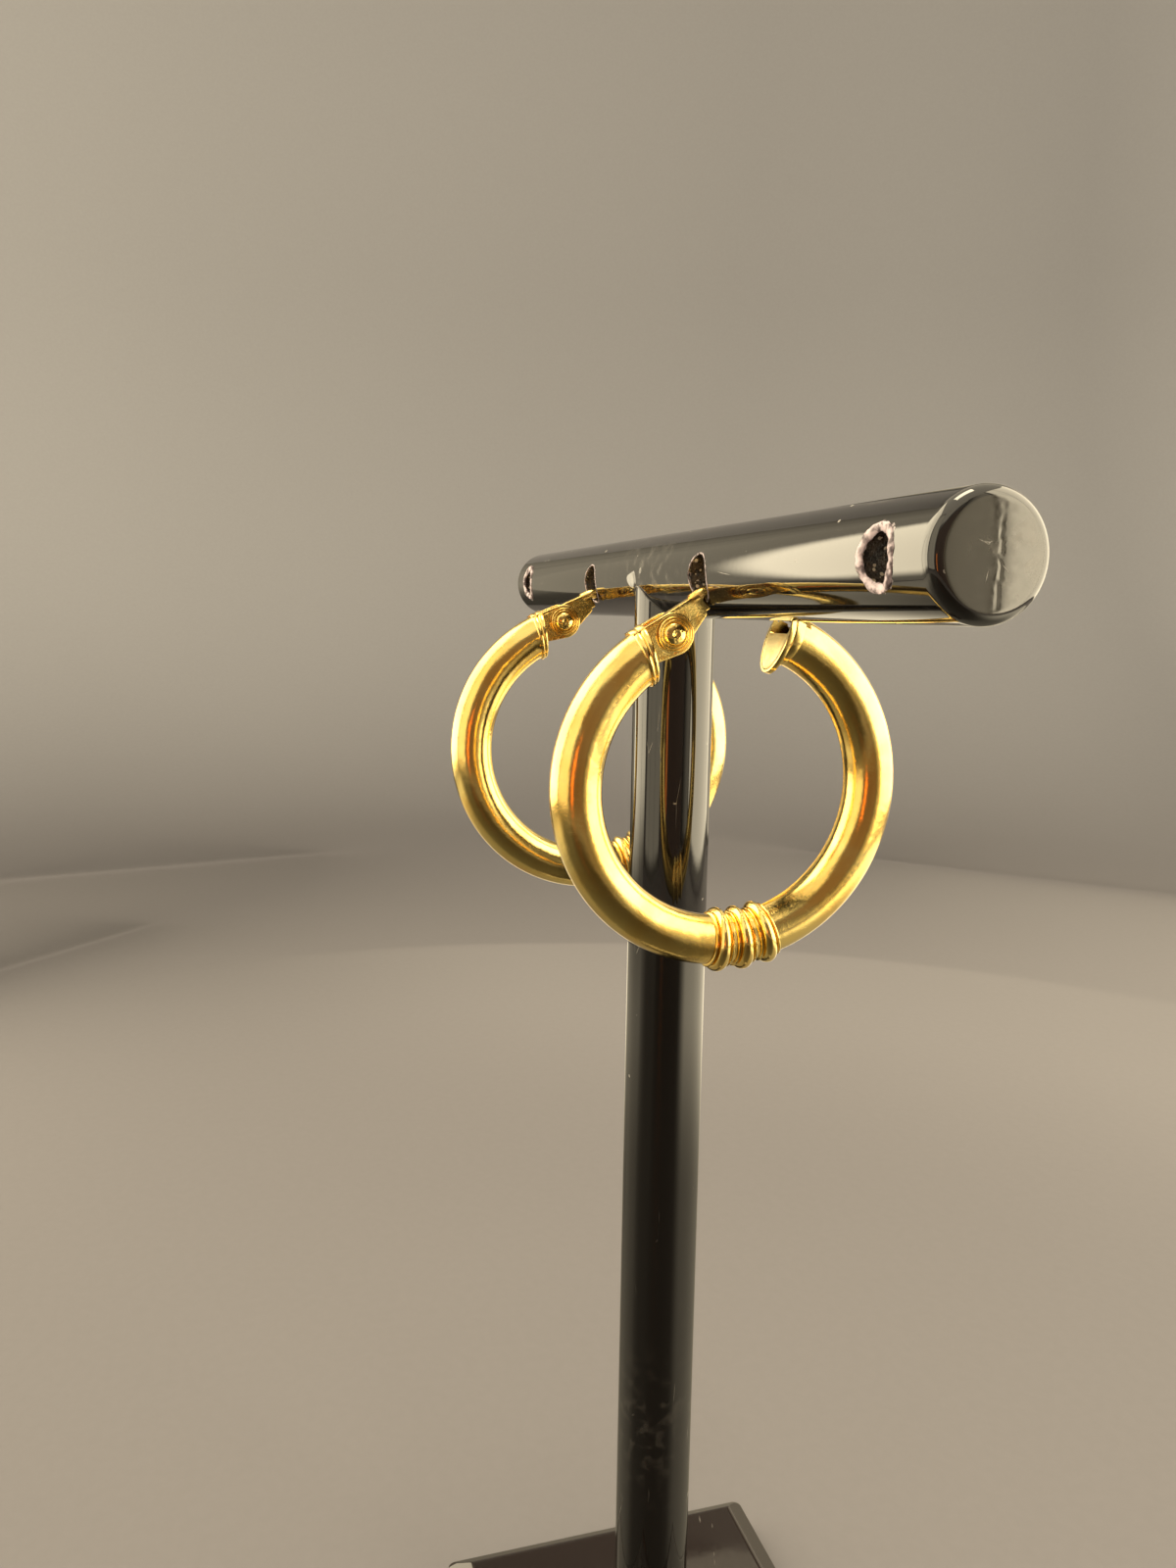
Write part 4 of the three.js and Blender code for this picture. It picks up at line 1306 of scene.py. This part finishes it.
# An upright sheet that faces the stand, with its own left to right and bottom to top as its UVs
def uprightSheet(spec):
    middle = placed(spec["azimuth"], spec["distance"], 0.0)
    across = Vector((-middle.y, middle.x, 0.0)).normalized() * spec["width"] / 2
    points = []
    for way, height in ((-1, spec["low"]), (1, spec["low"]), (1, spec["high"]), (-1, spec["high"])):
        spot = middle + across * way
        points.append((spot.x, spot.y, height))
    mesh = bpy.data.meshes.new(spec["name"])
    mesh.from_pydata(points, [], [[3, 2, 1, 0]])
    layer = mesh.uv_layers.new(name="sheet")
    for corner, place in zip(layer.data, ((0, 1), (1, 1), (1, 0), (0, 0))):
        corner.uv = place
    sheet = addObject(spec["name"], mesh)
    sheet.visible_camera = False
    sheet.visible_shadow = False
    return sheet


# A soft panel whose light fades towards its edges, with two thin seams in its cloth
def panelMaterial(spec):
    material, tree, shader = startMaterial(spec["name"])
    where = addNode(tree, "ShaderNodeTexCoord", (-8, 3))
    parts = addNode(tree, "ShaderNodeSeparateXYZ", (-7, 3))
    tree.links.new(where.outputs["UV"], parts.inputs[0])
    across, up = parts.outputs["X"], parts.outputs["Y"]
    leaning = addMath(tree, (-6, 5), "MULTIPLY_ADD", up, spec["lean"], across)
    half = spec["soft"] / 2
    light = addRange(tree, (-5, 5), leaning, spec["start"] - half, spec["start"] + half, spec["dim"], 1.0)
    rising = addRange(tree, (-5, 6), up, spec["foot"] / 4, spec["foot"], panelFootShade, 1.0)
    light = addMath(tree, (-4, 5), "MULTIPLY", light, rising)
    for row, side in enumerate((across, up)):
        ending = addRange(tree, (-5, 3 - row), side, 1.0 - spec["fade"], 1.0, 1.0, 0.0)
        light = addMath(tree, (-4, 3 - row), "MULTIPLY", light, ending)
    for row, seam in enumerate(spec["seams"]):
        away = addMath(tree, (-5, -row), "ABSOLUTE", addMath(tree, (-6, -row), "SUBTRACT", across, seam))
        shown = addRange(tree, (-4, -row), away, panelSeam["half"] * 0.5, panelSeam["half"] * 1.5,
                         panelSeam["shade"], 1.0)
        light = addMath(tree, (-3, 2 - row), "MULTIPLY", light, shown)
    light = addMath(tree, (-2, 0), "MULTIPLY", light, spec["light"])
    shader.inputs["Base Color"].default_value = panelBase
    shader.inputs["Emission Color"].default_value = panelTone
    tree.links.new(light, shader.inputs["Emission Strength"])
    return material


# A dark card that the camera doesn't see, with a faint painted warm glow that warms the dark reflections in
# the gold
def cardMaterial():
    material, tree, shader = startMaterial("darkCard")
    position = addPosition(tree)
    grain = addGroup(tree, grainGroup, (-4, 0), Position=position, Size=4.0, Contrast=0.9)["Grain"]
    tone = addMix(tree, (-1, 1), grain, (0.012, 0.011, 0.010, 1.0), (0.02, 0.018, 0.016, 1.0))
    tree.links.new(tone, shader.inputs["Base Color"])
    shader.inputs["Emission Color"].default_value = cardGlowTone
    shader.inputs["Emission Strength"].default_value = cardLight
    return material


# A disc round the stand that only reflections see. Its glow is a painted reflection of a dark table: painted
# shade near the stand and towards the camera, and painted shine further out
def shadeMaterial():
    material, tree, shader = startMaterial("paintedTableReflection")
    parts = addNode(tree, "ShaderNodeSeparateXYZ", (-6, 2))
    tree.links.new(addNode(tree, "ShaderNodeNewGeometry", (-7, 2)).outputs["Position"], parts.inputs[0])
    across, along = parts.outputs["X"], parts.outputs["Y"]
    square = addMath(tree, (-5, 3), "MULTIPLY", across, across)
    square = addMath(tree, (-4, 3), "MULTIPLY_ADD", along, along, square)
    reach = addMath(tree, (-3, 3), "SQRT", square)
    awayX, awayY = floorShade["away"]
    facing = addMath(tree, (-5, 1), "MULTIPLY", across, awayX)
    facing = addMath(tree, (-4, 1), "MULTIPLY_ADD", along, awayY, facing)
    nearest = addMath(tree, (-3, 1), "MAXIMUM", reach, floorShade["nearest"])
    side = addMath(tree, (-2, 1), "DIVIDE", facing, nearest)
    lit = addRange(tree, (-1, 1), side, floorShade["awayFrom"], floorShade["awayTo"])
    shine = addRange(tree, (-2, 3), reach, floorShade["from"], floorShade["to"], floorShade["dim"],
                     floorShade["bright"])
    shader.inputs["Base Color"].default_value = (0.015, 0.014, 0.012, 1.0)
    shader.inputs["Emission Color"].default_value = panelTone
    uneven = addRange(tree, (-2, -1), along, -floorShade["turnHalf"], floorShade["turnHalf"],
                      floorShade["leftShare"], 1.0)
    shine = addMath(tree, (0, 3), "MULTIPLY", shine, uneven)
    tree.links.new(addMath(tree, (0, 1), "MULTIPLY", lit, shine), shader.inputs["Emission Strength"])
    return material


# Lays the disc of painted reflection on the floor, hidden from the camera, diffuse and shadow rays
def addFloorShade():
    radius, height = floorShade["radius"], floorShade["height"]
    ring = [(radius * cosine, radius * sine, height) for cosine, sine in roundTurns(floorShade["sides"])]
    mesh = bpy.data.meshes.new("floorShade")
    mesh.from_pydata(ring, [], [list(range(len(ring)))])
    mesh.materials.append(shadeMaterial())
    shade = addObject("floorShade", mesh)
    shade.visible_camera = shade.visible_diffuse = shade.visible_shadow = shade.visible_transmission = False


def addStudio():
    for panel in panels:
        uprightSheet(panel).data.materials.append(panelMaterial(panel))
    uprightSheet(card).data.materials.append(cardMaterial())
    warm, _, shader = startMaterial("amberGlow")
    shader.inputs["Base Color"].default_value = glowTone
    shader.inputs["Emission Color"].default_value = glowTone
    shader.inputs["Emission Strength"].default_value = glowLight
    uprightSheet(glow).data.materials.append(warm)
    addFloorShade()
    for spec in lamps:
        light = bpy.data.lights.new(spec["name"], "AREA")
        light.size, light.energy = spec["size"], spec["power"]
        light.color = panelTone[:3]
        lamp = addObject(spec["name"], light)
        lamp.location = (0.0, 0.0, spec["height"])
    world = bpy.data.worlds.new("studioAir")
    world.use_nodes = True
    world.node_tree.nodes["Background"].inputs["Color"].default_value = studio["worldTone"]
    world.node_tree.nodes["Background"].inputs["Strength"].default_value = studio["worldStrength"]
    bpy.context.scene.world = world
    bpy.context.scene.view_settings.view_transform = "Standard"


seamlessBackdrop()
addStudio()

# Camera at the viewing angle of the photograph, which is 1200 wide and 1600 high
camera = {
    "lens": 27.045, "sensor": 36.0, "place": (0.08573, -0.03232, 0.09405), "yaw": 0.290, "pitch": 0.147,
    "roll": 0.015, "clip": (0.002, 10.0),
}
lens = bpy.data.cameras.new("camera")
lens.lens = camera["lens"]
lens.sensor_width = camera["sensor"]
lens.clip_start, lens.clip_end = camera["clip"]
viewer = addObject("camera", lens)
forward = Vector((
    -math.cos(camera["yaw"]) * math.cos(camera["pitch"]),
    math.sin(camera["yaw"]) * math.cos(camera["pitch"]),
    -math.sin(camera["pitch"]),
))
viewer.location = camera["place"]
viewer.rotation_mode = "QUATERNION"
facing = forward.to_track_quat("-Z", "Y").to_matrix() @ Matrix.Rotation(camera["roll"], 3, "Z")
viewer.rotation_quaternion = facing.to_quaternion()
bpy.context.scene.camera = viewer
print("stage: studio and camera set")
